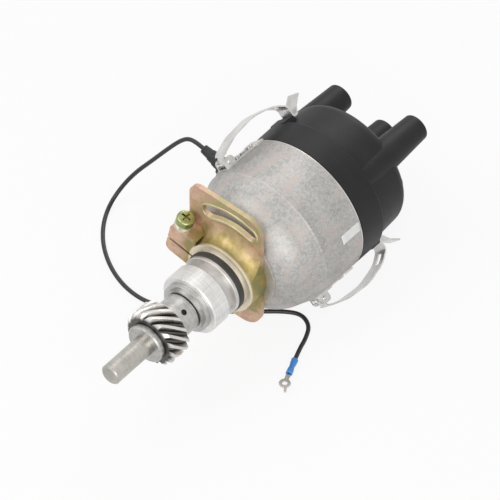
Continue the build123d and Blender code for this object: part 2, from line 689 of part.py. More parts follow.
def make_rotor_arm():
    """Moulded rotor on the cam's top, with its arm and balance tail."""
    hub = turned(
        (0, ROTOR_BOTTOM),
        (ROTOR_HUB_RADIUS, ROTOR_BOTTOM),
        (ROTOR_HUB_RADIUS - 1, ROTOR_SHOULDER),
        (ROTOR_HUB_RADIUS - 3, ROTOR_TOP),
        (0, ROTOR_TOP),
    )
    half = ROTOR_ARM_WIDTH / 2
    arm = block(0, ELECTRODE_REACH - 4, -half, half, ROTOR_SHOULDER - 4, ROTOR_TOP)
    arm = fillet(arm.edges().filter_by(Axis.Z).sort_by(Axis.X)[-2:], 3.0)
    tail = block(-17, 0, -half, half, ROTOR_SHOULDER - 4, ROTOR_SHOULDER + 4)
    shape = hub + arm + tail
    shape -= rod(CAM_SLEEVE_RADIUS + FACE_GAP, ROTOR_BOTTOM - 1, CAM_SLEEVE_TOP + FACE_GAP)
    key_half = KEY_HALF - 0.2
    key_tip = CAM_SLEEVE_RADIUS - KEY_DEPTH + 0.2
    shape += block(key_tip, CAM_SLEEVE_RADIUS + 1, -key_half, key_half,
                   ROTOR_BOTTOM + 1, CAM_SLEEVE_TOP - 0.5)
    return shape


def make_rotor_electrode():
    """Brass blade on the rotor's arm, from the centre to the tip."""
    low = ROTOR_TOP
    high = low + ELECTRODE_THICKNESS
    blade = block(-5, ELECTRODE_REACH, -ELECTRODE_WIDTH / 2, ELECTRODE_WIDTH / 2, low, high)
    blade &= rod(ELECTRODE_REACH, low, high)
    half = ELECTRODE_WIDTH / 2
    tip = block(ELECTRODE_REACH - 3.4, ELECTRODE_REACH, -half, half, low - 1.6, high + 0.8)
    tip &= rod(ELECTRODE_REACH, low - 2, high + 1)
    return blade + tip - rod(1.2, low - 1, high + 1, 12.0, 0)


def make_rotor_spring():
    """Leaf on the electrode, bowed up at the centre to meet the carbon brush."""
    base = ROTOR_TOP + ELECTRODE_THICKNESS + 0.25
    points = [(13.0, 0, base), (5.0, 0, base), (1.5, 0, base + 1.6), (-3.5, 0, base + 1.6)]
    return sheet_strip(points, [6.0, 2.5], 0.5, 4.4)


# Breaker plate and contact set

def plate_screw_places():
    """Centres of the two screws that hold the breaker plate to its ledge."""
    radius = INNER_RADIUS - SCREW_HEAD_RADIUS - LOOSE_GAP
    return [polar(radius, 150), polar(radius, 330)]


def plate_top():
    """Height of the breaker plate's upper face."""
    return PLATE_LEDGE + BREAKER_THICKNESS


def make_breaker_plate():
    """Round plate on the bowl's ledge, with its bore, windows and holes."""
    edge = INNER_RADIUS - FACE_GAP
    shape = tube(BREAKER_BORE, edge, PLATE_LEDGE, plate_top())
    for x, y in plate_screw_places():
        shape -= rod(SCREW_RADIUS, PLATE_LEDGE - 1, plate_top() + 1, x, y)
    window = CenterArc((0, 0), 28.0, 240, 50)
    shape -= Pos(0, 0, PLATE_LEDGE - 1) * extrude(SlotArc(window, 9.0), BREAKER_THICKNESS + 2)
    for x, y in (contact_screw_place(), condenser_screw_place()):
        shape -= rod(SCREW_RADIUS, PLATE_LEDGE - 1, plate_top() + 1, x, y)
    return shape


def make_plate_screws():
    """Two cheese-head screws through the breaker plate into the ledge."""
    screws = [make_small_screw(x, y, plate_top(), 7.0) for x, y in plate_screw_places()]
    return Compound(screws)


def make_small_screw(x, y, seat, reach):
    """Cheese-head screw with a straight slot."""
    head = rod(SCREW_HEAD_RADIUS, seat, seat + SCREW_HEAD_HEIGHT, x, y)
    shape = head + rod(SCREW_RADIUS, seat - reach, seat + 0.5, x, y)
    return screw_slot(shape, seat + SCREW_HEAD_HEIGHT, x, y, SCREW_HEAD_RADIUS + 1)


def contact_screw_place():
    """Centre of the screw that locks the fixed contact."""
    return LOCK_SCREW_X, ARM_LINE - 5.0


def condenser_screw_place():
    """Centre of the screw through the condenser's strap."""
    return polar(STRAP_SCREW_CIRCLE, 205)


def fixed_face():
    """Face of the fixed contact, square to the arm's line."""
    return ARM_LINE - ARM_THICKNESS / 2 - 1.2 - CONTACT_GAP


def make_contact_base():
    """Base sheet with pivot post, upright and fixed contact."""
    low = plate_top()
    sheet = CONTACT_SHEET
    base = block(CONTACT_PIVOT_X - 4, CONTACT_BASE_END, ARM_LINE - 4.0, ARM_LINE + 6.0, low, low + sheet)
    base += block(CONTACT_X + 4, CONTACT_BASE_END, ARM_LINE - 9.0, ARM_LINE, low, low + sheet)
    post = rod(POST_RADIUS, low, ARM_HEIGHT + ARM_WIDTH + 1.2, CONTACT_PIVOT_X, ARM_LINE)
    face = fixed_face()
    upright = block(CONTACT_X - 4, CONTACT_X + 4, face - 2.6, face - 1.1, low, ARM_HEIGHT + ARM_WIDTH)
    middle = ARM_HEIGHT + ARM_WIDTH / 2
    contact = cross_rod(CONTACT_RADIUS, (CONTACT_X, face - 1.3, middle), 1.3, (0, 1, 0))
    foot = block(CONTACT_X - 4, CONTACT_X + 4, face - 2.6, ARM_LINE - 3, low, low + sheet)
    shape = base + post + upright + contact + foot
    shape &= rod(INNER_RADIUS - 1.0, low - 1, RIM_HEIGHT)
    x, y = contact_screw_place()
    shape -= rod(BREAKER_BORE, low - 1, low + sheet)
    return shape - rod(SCREW_RADIUS, low - 1, low + sheet + 1, x, y)


def make_contact_arm():
    """Sprung arm on the pivot post, with rubbing block and moving contact."""
    low = ARM_HEIGHT
    high = low + ARM_WIDTH
    half = ARM_THICKNESS / 2
    arm = block(CONTACT_PIVOT_X, CONTACT_X + 3, ARM_LINE - half, ARM_LINE + half, low, high)
    eye = rod(POST_RADIUS + 2.0, low, high, CONTACT_PIVOT_X, ARM_LINE)
    block_face = CAM_LOBE_RADIUS + RUBBING_GAP
    rubbing = block(-2.2, 2.2, block_face, ARM_LINE, low + 0.2, high - 0.2)
    middle = (low + high) / 2
    contact = cross_rod(CONTACT_RADIUS, (CONTACT_X, ARM_LINE - half - 1.2, middle), 1.4, (0, 1, 0))
    shape = arm + eye + rubbing + contact
    return shape - rod(POST_RADIUS + RUNNING_GAP, low - 1, high + 1, CONTACT_PIVOT_X, ARM_LINE)


def make_contact_spring():
    """Leaf that presses the arm closed, bowed out to the terminal post."""
    start = ARM_LINE + ARM_THICKNESS / 2 + 0.3
    end = TERMINAL_Y - LEAF_REST
    bow = end - start
    points = [(2.0, start, 0), (-9.0, start, 0), (-18.0, start + LEAF_TURN * bow, 0), (-12.0, end, 0)]
    line = FilletPolyline(*points, radius=[LEAF_BEND * bow, LEAF_HOOK * bow])
    band = trace(line, 0.5)
    return Pos(0, 0, ARM_HEIGHT + 0.6) * extrude(band, ARM_WIDTH - 1.2)


def make_lead_terminal():
    """Insulated post that holds the end of the contact spring and the lead inside."""
    low = plate_top()
    x, y = TERMINAL_X, TERMINAL_Y
    shoulder = low + TERMINAL_BASE_HEIGHT
    top = ARM_HEIGHT + ARM_WIDTH
    base = rod(TERMINAL_BASE_RADIUS, low, shoulder, x, y)
    stud = rod(STUD_RADIUS, shoulder, top, x, y + STUD_OFFSET)
    nut = Pos(x, y + STUD_OFFSET, top - NUT_DROP) * extrude(RegularPolygon(NUT_RADIUS, 6), NUT_HEIGHT)
    return base + stud + nut


def make_condenser():
    """Can with its strap, held flat on the breaker plate."""
    low = plate_top()
    centre_height = low + CONDENSER_RADIUS + 0.6
    x, y = polar(CONDENSER_CIRCLE, 242)
    can = Pos(x, y, centre_height) * Rot(0, 0, -20) * Rot(0, 90, 0)
    can = can * extrude(Circle(CONDENSER_RADIUS), CONDENSER_LENGTH / 2, both=True)
    can = fillet(can.edges(), 1.2)
    strap = block(-4, 4, -CONDENSER_RADIUS, CONDENSER_RADIUS, -CONDENSER_RADIUS - 0.6, -CONDENSER_RADIUS + 1)
    strap = Pos(x, y, centre_height) * Rot(0, 0, -20) * strap
    sx, sy = condenser_screw_place()
    tab = rod(4.6, low, low + 1.0, sx, sy)
    link = Pos((x + sx) / 2, (y + sy) / 2, low + 0.5) * Rot(0, 0, degrees(link_angle(x, y, sx, sy)))
    link = link * Box(hypot(x - sx, y - sy), 7.0, 1.0)
    shape = can + strap + tab + link
    shape -= rod(CAM_LOBE_RADIUS + 2.2, low - 1, RIM_HEIGHT)
    shape &= rod(INNER_RADIUS - 0.6, low, RIM_HEIGHT)
    return shape - rod(SCREW_RADIUS, low - 1, low + 3, sx, sy)


def link_angle(x0, y0, x1, y1):
    """Angle of the line between two points, in radians."""
    return atan2(y1 - y0, x1 - x0)


# Cap

def tower_angles():
    """Angles of the outer towers."""
    return [FIRST_TOWER_ANGLE + 360 / TOWER_COUNT * i for i in range(TOWER_COUNT)]


def make_cap():
    """Moulded cap with skirt, spigot, towers, sockets and clip lugs."""
    body = turned(
        (0, RIM_HEIGHT + 0.02),
        (BOWL_RADIUS, RIM_HEIGHT + 0.02),
        (BOWL_RADIUS + 0.1, SKIRT_TOP - 1.2),
        (BOWL_RADIUS - 0.9, SKIRT_TOP),
        (CAP_SHOULDER_RADIUS, SKIRT_TOP),
        (CAP_CROWN_RADIUS, CAP_CROWN),
        (0, CAP_CROWN),
    )
    body = fillet(body.edges().filter_by(GeomType.CIRCLE).sort_by(Axis.Z)[-1], CROWN_ROUND)
    for angle in tower_angles():
        x, y = polar(TOWER_CIRCLE, angle)
        body += make_tower(x, y, SKIRT_TOP - 0.5, TOWER_TOP)
    body += make_tower(0, 0, CAP_CROWN - 4, CENTRE_TOWER_TOP)
    lug = make_cap_lug()
    for angle in CLIP_ANGLES:
        body += round_about(lug, angle)
    spigot = BOWL_RADIUS - BOWL_WALL - LOOSE_GAP / 2
    body += tube(spigot - SPIGOT_WALL, spigot, RIM_HEIGHT - SPIGOT_DEPTH, RIM_HEIGHT + 1)
    roof = CAP_CROWN - ROOF_THICKNESS
    body -= turned(
        (0, RIM_HEIGHT - SPIGOT_DEPTH - 1),
        (spigot - SPIGOT_WALL, RIM_HEIGHT - SPIGOT_DEPTH - 1),
        (spigot - SPIGOT_WALL, SKIRT_TOP - 3),
        (CAP_SHOULDER_RADIUS - CAP_WALL, SKIRT_TOP),
        (CAP_CROWN_RADIUS - CAP_WALL, roof - 5),
        (CAP_CROWN_RADIUS - CAP_WALL - 5, roof),
        (0, roof),
    )
    for angle in tower_angles():
        x, y = polar(TOWER_CIRCLE, angle)
        boss = rod(TERMINAL_RADIUS + 2.2, terminal_bottom() + 5, roof + 1, x, y)
        body += boss
        body -= rod(TERMINAL_RADIUS, terminal_bottom(), TOWER_TOP - SOCKET_DEPTH, x, y)
        body -= rod(SOCKET_RADIUS, TOWER_TOP - SOCKET_DEPTH, TOWER_TOP + 1, x, y)
    body += rod(BRUSH_RADIUS + 3.0, brush_top() - 4.0, roof + 1)
    body -= rod(BRUSH_RADIUS + FACE_GAP, brush_top() - 5.0, terminal_foot())
    body -= rod(TERMINAL_RADIUS, terminal_foot(), CENTRE_TOWER_TOP - SOCKET_DEPTH)
    body -= rod(SOCKET_RADIUS, CENTRE_TOWER_TOP - SOCKET_DEPTH, CENTRE_TOWER_TOP + 1)
    return body


def make_tower(x, y, low, high):
    """Tapered tower with a rounded mouth."""
    tower = turned(
        (0, low),
        (TOWER_BASE_RADIUS, low),
        (TOWER_NECK_RADIUS, CAP_CROWN - 1),
        (TOWER_TIP_RADIUS, high),
        (0, high),
    )
    return Pos(x, y, 0) * fillet(tower.edges().sort_by(Axis.Z)[-1], TOWER_ROUND)


def make_cap_lug():
    """Ledge on the cap that a clip's crook hooks over, sloped on its far side."""
    reach = BOWL_RADIUS
    half = LUG_WIDTH / 2
    outline = make_face(Polyline(
        (CAP_CROWN_RADIUS - 2, 0, SKIRT_TOP - 2),
        (reach, 0, SKIRT_TOP - 2),
        (reach, 0, LUG_FRONT - 1.4),
        (reach - 1.5, 0, LUG_FRONT),
        (CAP_CROWN_RADIUS - 2, 0, LUG_FRONT),
        close=True,
    ))
    return extrude(outline, half, both=True)


def terminal_bottom():
    """Height of the lower end of an outer terminal."""
    return ROTOR_TOP - 1.0


def terminal_foot():
    """Height at which the centre terminal's insert ends below its socket."""
    return CAP_CROWN - 1.0


def brush_top():
    """Height of the carbon brush's upper end."""
    return rotor_contact() + BRUSH_LENGTH


def rotor_contact():
    """Height of the lower end of the brush, just above the rotor's leaf."""
    return ROTOR_TOP + ELECTRODE_THICKNESS + 0.25 + 1.6 + 0.25 + LOOSE_GAP


def make_cap_terminal(angle):
    """Brass insert from the tower's socket down to the rotor's tip."""
    x, y = polar(TOWER_CIRCLE, angle)
    return rod(TERMINAL_RADIUS, terminal_bottom(), TOWER_TOP - SOCKET_DEPTH, x, y)


def make_centre_terminal():
    """Brass insert of the centre tower."""
    top = CENTRE_TOWER_TOP - SOCKET_DEPTH
    return rod(TERMINAL_RADIUS, terminal_foot(), top)


def make_carbon_brush():
    """Carbon brush that bears on the rotor's leaf."""
    brush = rod(BRUSH_RADIUS, rotor_contact(), brush_top())
    return fillet(brush.edges().sort_by(Axis.Z)[0], 0.8)


def make_brush_spring():
    """Spring between the brush and the centre terminal."""
    return tube(BRUSH_RADIUS - 0.9, BRUSH_RADIUS - 0.3, brush_top(), terminal_foot())


# Clips

def clip_pin_radius():
    """Distance of the clip pin's axis from the shaft."""
    return BOWL_RADIUS + CLIP_PIN_OFFSET


def rivet_heights():
    """Heights of the two rivets in each bracket."""
    return CLIP_PIN_HEIGHT + 8.5, CLIP_PIN_HEIGHT + 19.0


def make_clip_bracket():
    """Pressed bracket: back sheet on the bowl, foot at the rim and two ears round the pin."""
    start = BOWL_RADIUS - 0.6
    face = start + BRACKET_SHEET + 0.4
    half = BRACKET_WIDTH / 2
    back = block(start, face, -half, half, CLIP_PIN_HEIGHT - 4.0, RIM_HEIGHT - 4.5)
    wide = half + BRACKET_FOOT_EXTRA
    foot = block(start, face, -wide, wide, RIM_HEIGHT - 7.0, RIM_HEIGHT - 0.8)
    rib = block(face - 0.3, face + 0.7, -1.6, 1.6, CLIP_PIN_HEIGHT + 11.5, RIM_HEIGHT - 11.0)
    shape = back + foot + rib
    reach = clip_pin_radius() + 3.0
    for side in (-1, 1):
        inner = side * (CLIP_EYE_WIDTH / 2 + 0.25)
        outer = side * half
        ear = block(start, reach, min(inner, outer), max(inner, outer),
                    CLIP_PIN_HEIGHT - 3.6, CLIP_PIN_HEIGHT + 4.2)
        ear = fillet(ear.edges().filter_by(Axis.Y).sort_by(Axis.X)[-2:], 2.4)
        shape += ear
    shape -= rod(BOWL_RADIUS, 0, RIM_HEIGHT)
    pin = Pos(clip_pin_radius(), 0, CLIP_PIN_HEIGHT) * Rot(90, 0, 0)
    shape -= pin * extrude(Circle(CLIP_PIN_RADIUS), 20, both=True)
    for height in rivet_heights():
        hole = Pos(start - 1, 0, height) * Rot(0, 90, 0) * extrude(Circle(RIVET_RADIUS), 4)
        shape -= hole
    return shape


def make_clip_pin():
    """Pin through the bracket's ears and the clip's eye."""
    half = BRACKET_WIDTH / 2 + 0.5
    place = Pos(clip_pin_radius(), 0, CLIP_PIN_HEIGHT) * Rot(90, 0, 0)
    pin = extrude(Circle(CLIP_PIN_RADIUS), half, both=True)
    return place * chamfer(pin.edges(), 0.3)


def make_clip_rivets():
    """Rivets of both brackets."""
    rivets = []
    face = BOWL_RADIUS + BRACKET_SHEET - 0.2
    inner = BOWL_RADIUS - BOWL_WALL
    for angle in CLIP_ANGLES:
        for height in rivet_heights():
            shank = Pos(inner, 0, height) * Rot(0, 90, 0) * extrude(Circle(RIVET_RADIUS), face - inner)
            head = Pos(face, 0, height) * Rot(0, 90, 0) * extrude(Circle(RIVET_RADIUS + 0.9), 1.0)
            head = fillet(head.edges().sort_by(Axis.X)[-1], 0.6)
            rivets.append(round_about(shank + head, angle))
    return Compound(rivets)


def make_cap_clip():
    """Bowed leaf spring: eye on the pin, bow over the rim, crook over the lug, thumb tab."""
    pin = clip_pin_radius()
    eye_outer = CLIP_PIN_RADIUS + RUNNING_GAP + CLIP_THICKNESS
    eye_side = CLIP_PIN_HEIGHT - eye_outer + CLIP_THICKNESS / 2
    leg = LUG_FRONT + 0.6 + CLIP_THICKNESS / 2
    crook = CAP_SHOULDER_RADIUS + 0.5 + CLIP_THICKNESS / 2
    bow = [
        (pin, 0, eye_side),
        (pin + 5.5, 0, eye_side + 2.2),
        (pin + 9.4, 0, CLIP_PIN_HEIGHT + 13.0),
        (pin + 10.8, 0, CLIP_PIN_HEIGHT + 30.0),
        (pin + 7.4, 0, CLIP_PIN_HEIGHT + 45.5),
        (pin + 2.4, 0, leg),
        (crook, 0, leg),
        (crook, 0, leg + 3.0),
        (pin - 0.6, 0, leg + 5.5),
        (pin + 3.8, 0, leg + 11.5),
    ]
    rounds = [4.0, 12.0, 30.0, 22.0, 4.0, 1.2, 1.2, 5.0]
    strip = sheet_strip(bow, rounds, CLIP_THICKNESS, CLIP_WIDTH)
    narrow = block(0, pin + 4.6, CLIP_EYE_WIDTH / 2, 20, 0, CLIP_PIN_HEIGHT + 5.5)
    strip -= narrow
    strip -= mirror(narrow, Plane.XZ)
    place = Pos(pin, 0, CLIP_PIN_HEIGHT) * Rot(90, 0, 0)
    shape = strip + place * extrude(Circle(eye_outer), CLIP_EYE_WIDTH / 2, both=True)
    shape -= place * extrude(Circle(CLIP_PIN_RADIUS + RUNNING_GAP), 20, both=True)
    slot = block(pin + 3.5, pin + 9.5, -CLIP_SLOT_WIDTH / 2, CLIP_SLOT_WIDTH / 2, leg - 8.5, leg - 1.8)
    return shape - slot


# Lead

# Route of the lead's middle, laid down, from the grommet's tip to the terminal's sleeve
LEAD_FLOOR = FLOOR + LEAD_RADIUS + 0.05
LEAD_ROUTE = [
    (44.5, 61.25, 17.563),
    (44.5, 67.02, 19.218),
    (44.2, 73.0, 18.2),
    (43.2, 79.0, 12.0),
    (41.0, 86.5, 1.5),
    (38.0, 95.0, -11.0),
    (34.5, 104.5, -24.5),
    (28.5, 110.5, -36.5),
    (18.0, 110.8, LEAD_FLOOR),
    (4.0, 103.5, LEAD_FLOOR),
    (-9.0, 92.0, LEAD_FLOOR),
    (-19.5, 76.0, LEAD_FLOOR),
    (-25.0, 59.0, LEAD_FLOOR),
    (-24.5, 42.0, LEAD_FLOOR),
    (-14.0, 22.5, LEAD_FLOOR),
    (0.5, 4.0, LEAD_FLOOR),
    (11.5, -9.0, LEAD_FLOOR),
    (20.5, -19.5, LEAD_FLOOR),
    (25.0, -28.5, LEAD_FLOOR),
    (21.0, -37.5, LEAD_FLOOR),
    (12.0, -42.0, LEAD_FLOOR),
    (3.5, -44.5, LEAD_FLOOR + 0.3),
    (-5.0, -48.1, LEAD_FLOOR + 0.9),
]


def route_radii(points):
    """Largest arc that each corner of the route allows."""
    radii = []
    for before, here, after in zip(points, points[1:], points[2:]):
        first = Vector(*here) - Vector(*before)
        second = Vector(*after) - Vector(*here)
        turn = first.get_angle(second)
        shorter = min(first.length, second.length)
        radii.append(0.45 * shorter / tan(radians(turn / 2)))
    return radii


def make_lead():
    """Lead as a plain tube along straight runs joined by tangent arcs."""
    radii = route_radii(LEAD_ROUTE)
    path = FilletPolyline(*LEAD_ROUTE, radius=radii)
    print("lead radii:", [round(r, 1) for r in radii])
    profile = Plane(origin=path @ 0, z_dir=path % 0) * Circle(LEAD_RADIUS)
    tube_solid = sweep(profile, path=path)
    section = pi * LEAD_RADIUS ** 2
    ratio = tube_solid.volume / section / path.length
    print("lead length", round(path.length, 1), "volume ratio", round(ratio, 4))
    return tube_solid


def lead_end():
    """Point where the lead meets its sleeve, and the direction there."""
    last = Vector(*LEAD_ROUTE[-1])
    return last, (last - Vector(*LEAD_ROUTE[-2])).normalized()


def make_lead_sleeve():
    """Insulating sleeve over the crimp."""
    start, direction = lead_end()
    turn = Plane(origin=start, z_dir=direction)
    sleeve = turn * extrude(Circle(SLEEVE_RADIUS), SLEEVE_LENGTH)
    return fillet(sleeve.edges(), 0.3)


def make_lead_fork():
    """Ring terminal with a side hook, stamped from sheet."""
    start, direction = lead_end()
    upward = direction.cross(Vector(0, 0, 1)).cross(direction)
    place = Plane(origin=start + direction * SLEEVE_LENGTH, x_dir=direction, z_dir=upward)
    neck = Pos(2.5, 0, 0) * Box(5.0, 2.6, FORK_SHEET)
    ring = Pos(4.5 + FORK_RING_RADIUS, 0, 0) * extrude(
        Circle(FORK_RING_RADIUS) - Circle(FORK_HOLE_RADIUS), FORK_SHEET / 2, both=True
    )
    prong = Pos(FORK_LENGTH - 2.2, 1.6, 0) * Rot(0, 0, 12) * Box(4.4, 1.6, FORK_SHEET)
    return place * (neck + ring + prong)


def make_grommet():
    """Rubber grommet: plug in the bowl wall, flange and tapered nose."""
    wall = BOWL_RADIUS - BOWL_WALL
    flange = BOWL_RADIUS + BOSS_HEIGHT
    outline = [
        (0, wall - 1.0),
        (GROMMET_BASE_RADIUS, wall - 1.0),
        (GROMMET_BASE_RADIUS, flange),
        (GROMMET_BASE_RADIUS + 1.4, flange),
        (GROMMET_BASE_RADIUS + 1.0, flange + 2.2),
        (GROMMET_BASE_RADIUS - 0.6, flange + 3.4),
        (GROMMET_TIP_RADIUS, GROMMET_REACH),
        (0, GROMMET_REACH),
    ]
    shape = Pos(0, 0, GROMMET_HEIGHT) * Rot(0, 90, 0) * turned(*outline)
    return round_about(shape, GROMMET_ANGLE)


def standing_pieces():
    """Every piece that is modelled upright, by name."""
    low_bush = -SHANK_LENGTH
    high_bush = BOWL_FLOOR - UPPER_BUSH_LENGTH
    washer = EAR_UPPER
    weight = make_advance_weight()
    pieces = {
        "housing": make_housing(),
        "lower_bush": make_bush(low_bush, LOWER_BUSH_LENGTH),
        "upper_bush": make_bush(high_bush, UPPER_BUSH_LENGTH),
        "o_ring": make_o_ring(),
        "clamp_plate": make_clamp_plate(),
        "clamp_screw": make_clamp_screw(),
        "clamp_flat_washer": make_clamp_washer(washer, FLAT_WASHER_HEIGHT, WASHER_RADIUS, 0),
        "clamp_lock_washer": make_clamp_washer(
            washer + FLAT_WASHER_HEIGHT, LOCK_WASHER_HEIGHT, CLAMP_HEAD_RADIUS - 0.2, 1.0
        ),
        "main_shaft": make_main_shaft(),
        "drive_gear": make_drive_gear(),
        "gear_pin": make_gear_pin(),
        "thrust_washer": make_thrust_washer(),
        "advance_plate": make_advance_plate(),
        "advance_springs": make_advance_springs(),
        "advance_weight_1": weight,
        "advance_weight_2": round_about(weight, 180),
        "cam": make_cam(),
        "rotor_arm": make_rotor_arm(),
        "rotor_electrode": make_rotor_electrode(),
        "rotor_spring": make_rotor_spring(),
        "breaker_plate": make_breaker_plate(),
        "plate_screws": make_plate_screws(),
        "contact_base": make_contact_base(),
        "contact_screw": make_small_screw(*contact_screw_place(), plate_top() + CONTACT_SHEET, 4.0),
        "contact_arm": make_contact_arm(),
        "contact_spring": make_contact_spring(),
        "lead_terminal": make_lead_terminal(),
        "condenser": make_condenser(),
        "condenser_screw": make_small_screw(*condenser_screw_place(), plate_top() + 1.0, 4.0),
        "distributor_cap": make_cap(),
        "centre_terminal": make_centre_terminal(),
        "carbon_brush": make_carbon_brush(),
        "brush_spring": make_brush_spring(),
        "clip_rivets": make_clip_rivets(),
        "grommet": make_grommet(),
    }
    for number, angle in enumerate(tower_angles(), start=1):
        pieces[f"cap_terminal_{number}"] = make_cap_terminal(angle)
    for number, angle in enumerate(CLIP_ANGLES, start=1):
        pieces[f"clip_bracket_{number}"] = round_about(make_clip_bracket(), angle)
        pieces[f"clip_pin_{number}"] = round_about(make_clip_pin(), angle)
        pieces[f"cap_clip_{number}"] = round_about(make_cap_clip(), angle)
    return pieces


def main():
    """Build every piece, lay it down and write it."""
    os.makedirs("parts", exist_ok=True)
    pieces = {name: shape.moved(LAID_DOWN) for name, shape in standing_pieces().items()}
    pieces["lead"] = make_lead()
    pieces["lead_sleeve"] = make_lead_sleeve()
    pieces["lead_fork"] = make_lead_fork()
    for name, shape in pieces.items():
        shape.label = name
        export_step(shape, f"parts/{name}.step")


main()
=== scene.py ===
"""Looks of a points-type ignition distributor lying on a pale studio floor.

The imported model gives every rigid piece. This script adds the finishes, the free lead and its
sleeve, the rubber grommet and seal, the clamp slot's raised rim, a blank sticker, the studio
and the camera.
All sizes are in metres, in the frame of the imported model: +X along the shaft towards the cap,
+Z up, and the origin at the seat of the clamp plate.
"""
from __future__ import annotations

import logging
import math
from dataclasses import dataclass, field
from enum import Enum
from typing import Sequence, Union

import bmesh
import bpy
from mathutils import Matrix, Vector

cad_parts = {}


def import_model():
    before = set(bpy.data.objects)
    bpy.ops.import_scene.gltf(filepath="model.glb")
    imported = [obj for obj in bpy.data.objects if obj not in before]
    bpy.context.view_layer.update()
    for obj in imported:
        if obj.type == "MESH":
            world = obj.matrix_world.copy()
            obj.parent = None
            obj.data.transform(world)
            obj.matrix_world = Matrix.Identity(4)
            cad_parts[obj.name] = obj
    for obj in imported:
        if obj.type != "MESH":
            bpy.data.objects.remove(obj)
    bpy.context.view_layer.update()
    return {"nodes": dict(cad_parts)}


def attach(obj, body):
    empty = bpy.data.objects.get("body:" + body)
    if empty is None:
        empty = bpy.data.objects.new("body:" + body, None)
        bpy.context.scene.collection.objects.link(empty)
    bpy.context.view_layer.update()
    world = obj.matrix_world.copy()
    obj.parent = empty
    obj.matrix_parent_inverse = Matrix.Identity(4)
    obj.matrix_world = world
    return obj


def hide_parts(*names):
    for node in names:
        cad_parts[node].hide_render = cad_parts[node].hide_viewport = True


LOG = logging.getLogger("distributor")
MM = 0.001
FLOOR_HEIGHT = -45.15 * MM

Colour = tuple[float, float, float]
Outline = tuple[tuple[float, float], ...]
Number = Union[int, float]
Feed = Union["Signal", float, int, tuple]


# Shader building

class Signal:
    """A shader socket that can be used in Python arithmetic."""

    def __init__(self, board: "Board", socket: bpy.types.NodeSocket) -> None:
        """Keep the board that owns the socket.

        Args:
            board: Node board of the material.
            socket: Output socket that carries the value.
        """
        self.board = board
        self.socket = socket

    def _maths(self, operation: str, first: Feed, second: Feed) -> "Signal":
        """Add one Math node.

        Args:
            operation: Name of the Math node's operation.
            first: First operand.
            second: Second operand.

        Returns:
            The node's result.
        """
        node = self.board.node("ShaderNodeMath", {"operation": operation}, {0: first, 1: second})
        return Signal(self.board, node.outputs[0])

    def __add__(self, other: Feed) -> "Signal":
        """Sum of two values."""
        return self._maths("ADD", self, other)

    __radd__ = __add__

    def __mul__(self, other: Feed) -> "Signal":
        """Product of two values."""
        return self._maths("MULTIPLY", self, other)

    __rmul__ = __mul__

    def __sub__(self, other: Feed) -> "Signal":
        """Difference of two values."""
        return self._maths("SUBTRACT", self, other)

    def __rsub__(self, other: Feed) -> "Signal":
        """A number less this value."""
        return self._maths("SUBTRACT", other, self)

    def __pow__(self, other: Feed) -> "Signal":
        """Power of a value."""
        return self._maths("POWER", self, other)

    def clamp(self) -> "Signal":
        """Value held between 0 and 1."""
        node = self.board.node("ShaderNodeClamp", {}, {"Value": self})
        return Signal(self.board, node.outputs[0])

    def rise(self, low: Number, high: Number) -> "Signal":
        """Smooth step.

        Args:
            low: Input at which the step starts from 0.
            high: Input at which the step reaches 1.

        Returns:
            The stepped value, from 0 to 1.
        """
        settings = {"interpolation_type": "SMOOTHSTEP"}
        feeds = {"Value": self, "From Min": low, "From Max": high, "To Min": 0.0, "To Max": 1.0}
        node = self.board.node("ShaderNodeMapRange", settings, feeds)
        return Signal(self.board, node.outputs[0])

    def between(self, low: Number, high: Number) -> "Signal":
        """Spread a value from 0..1 over another range."""
        return self * (high - low) + low


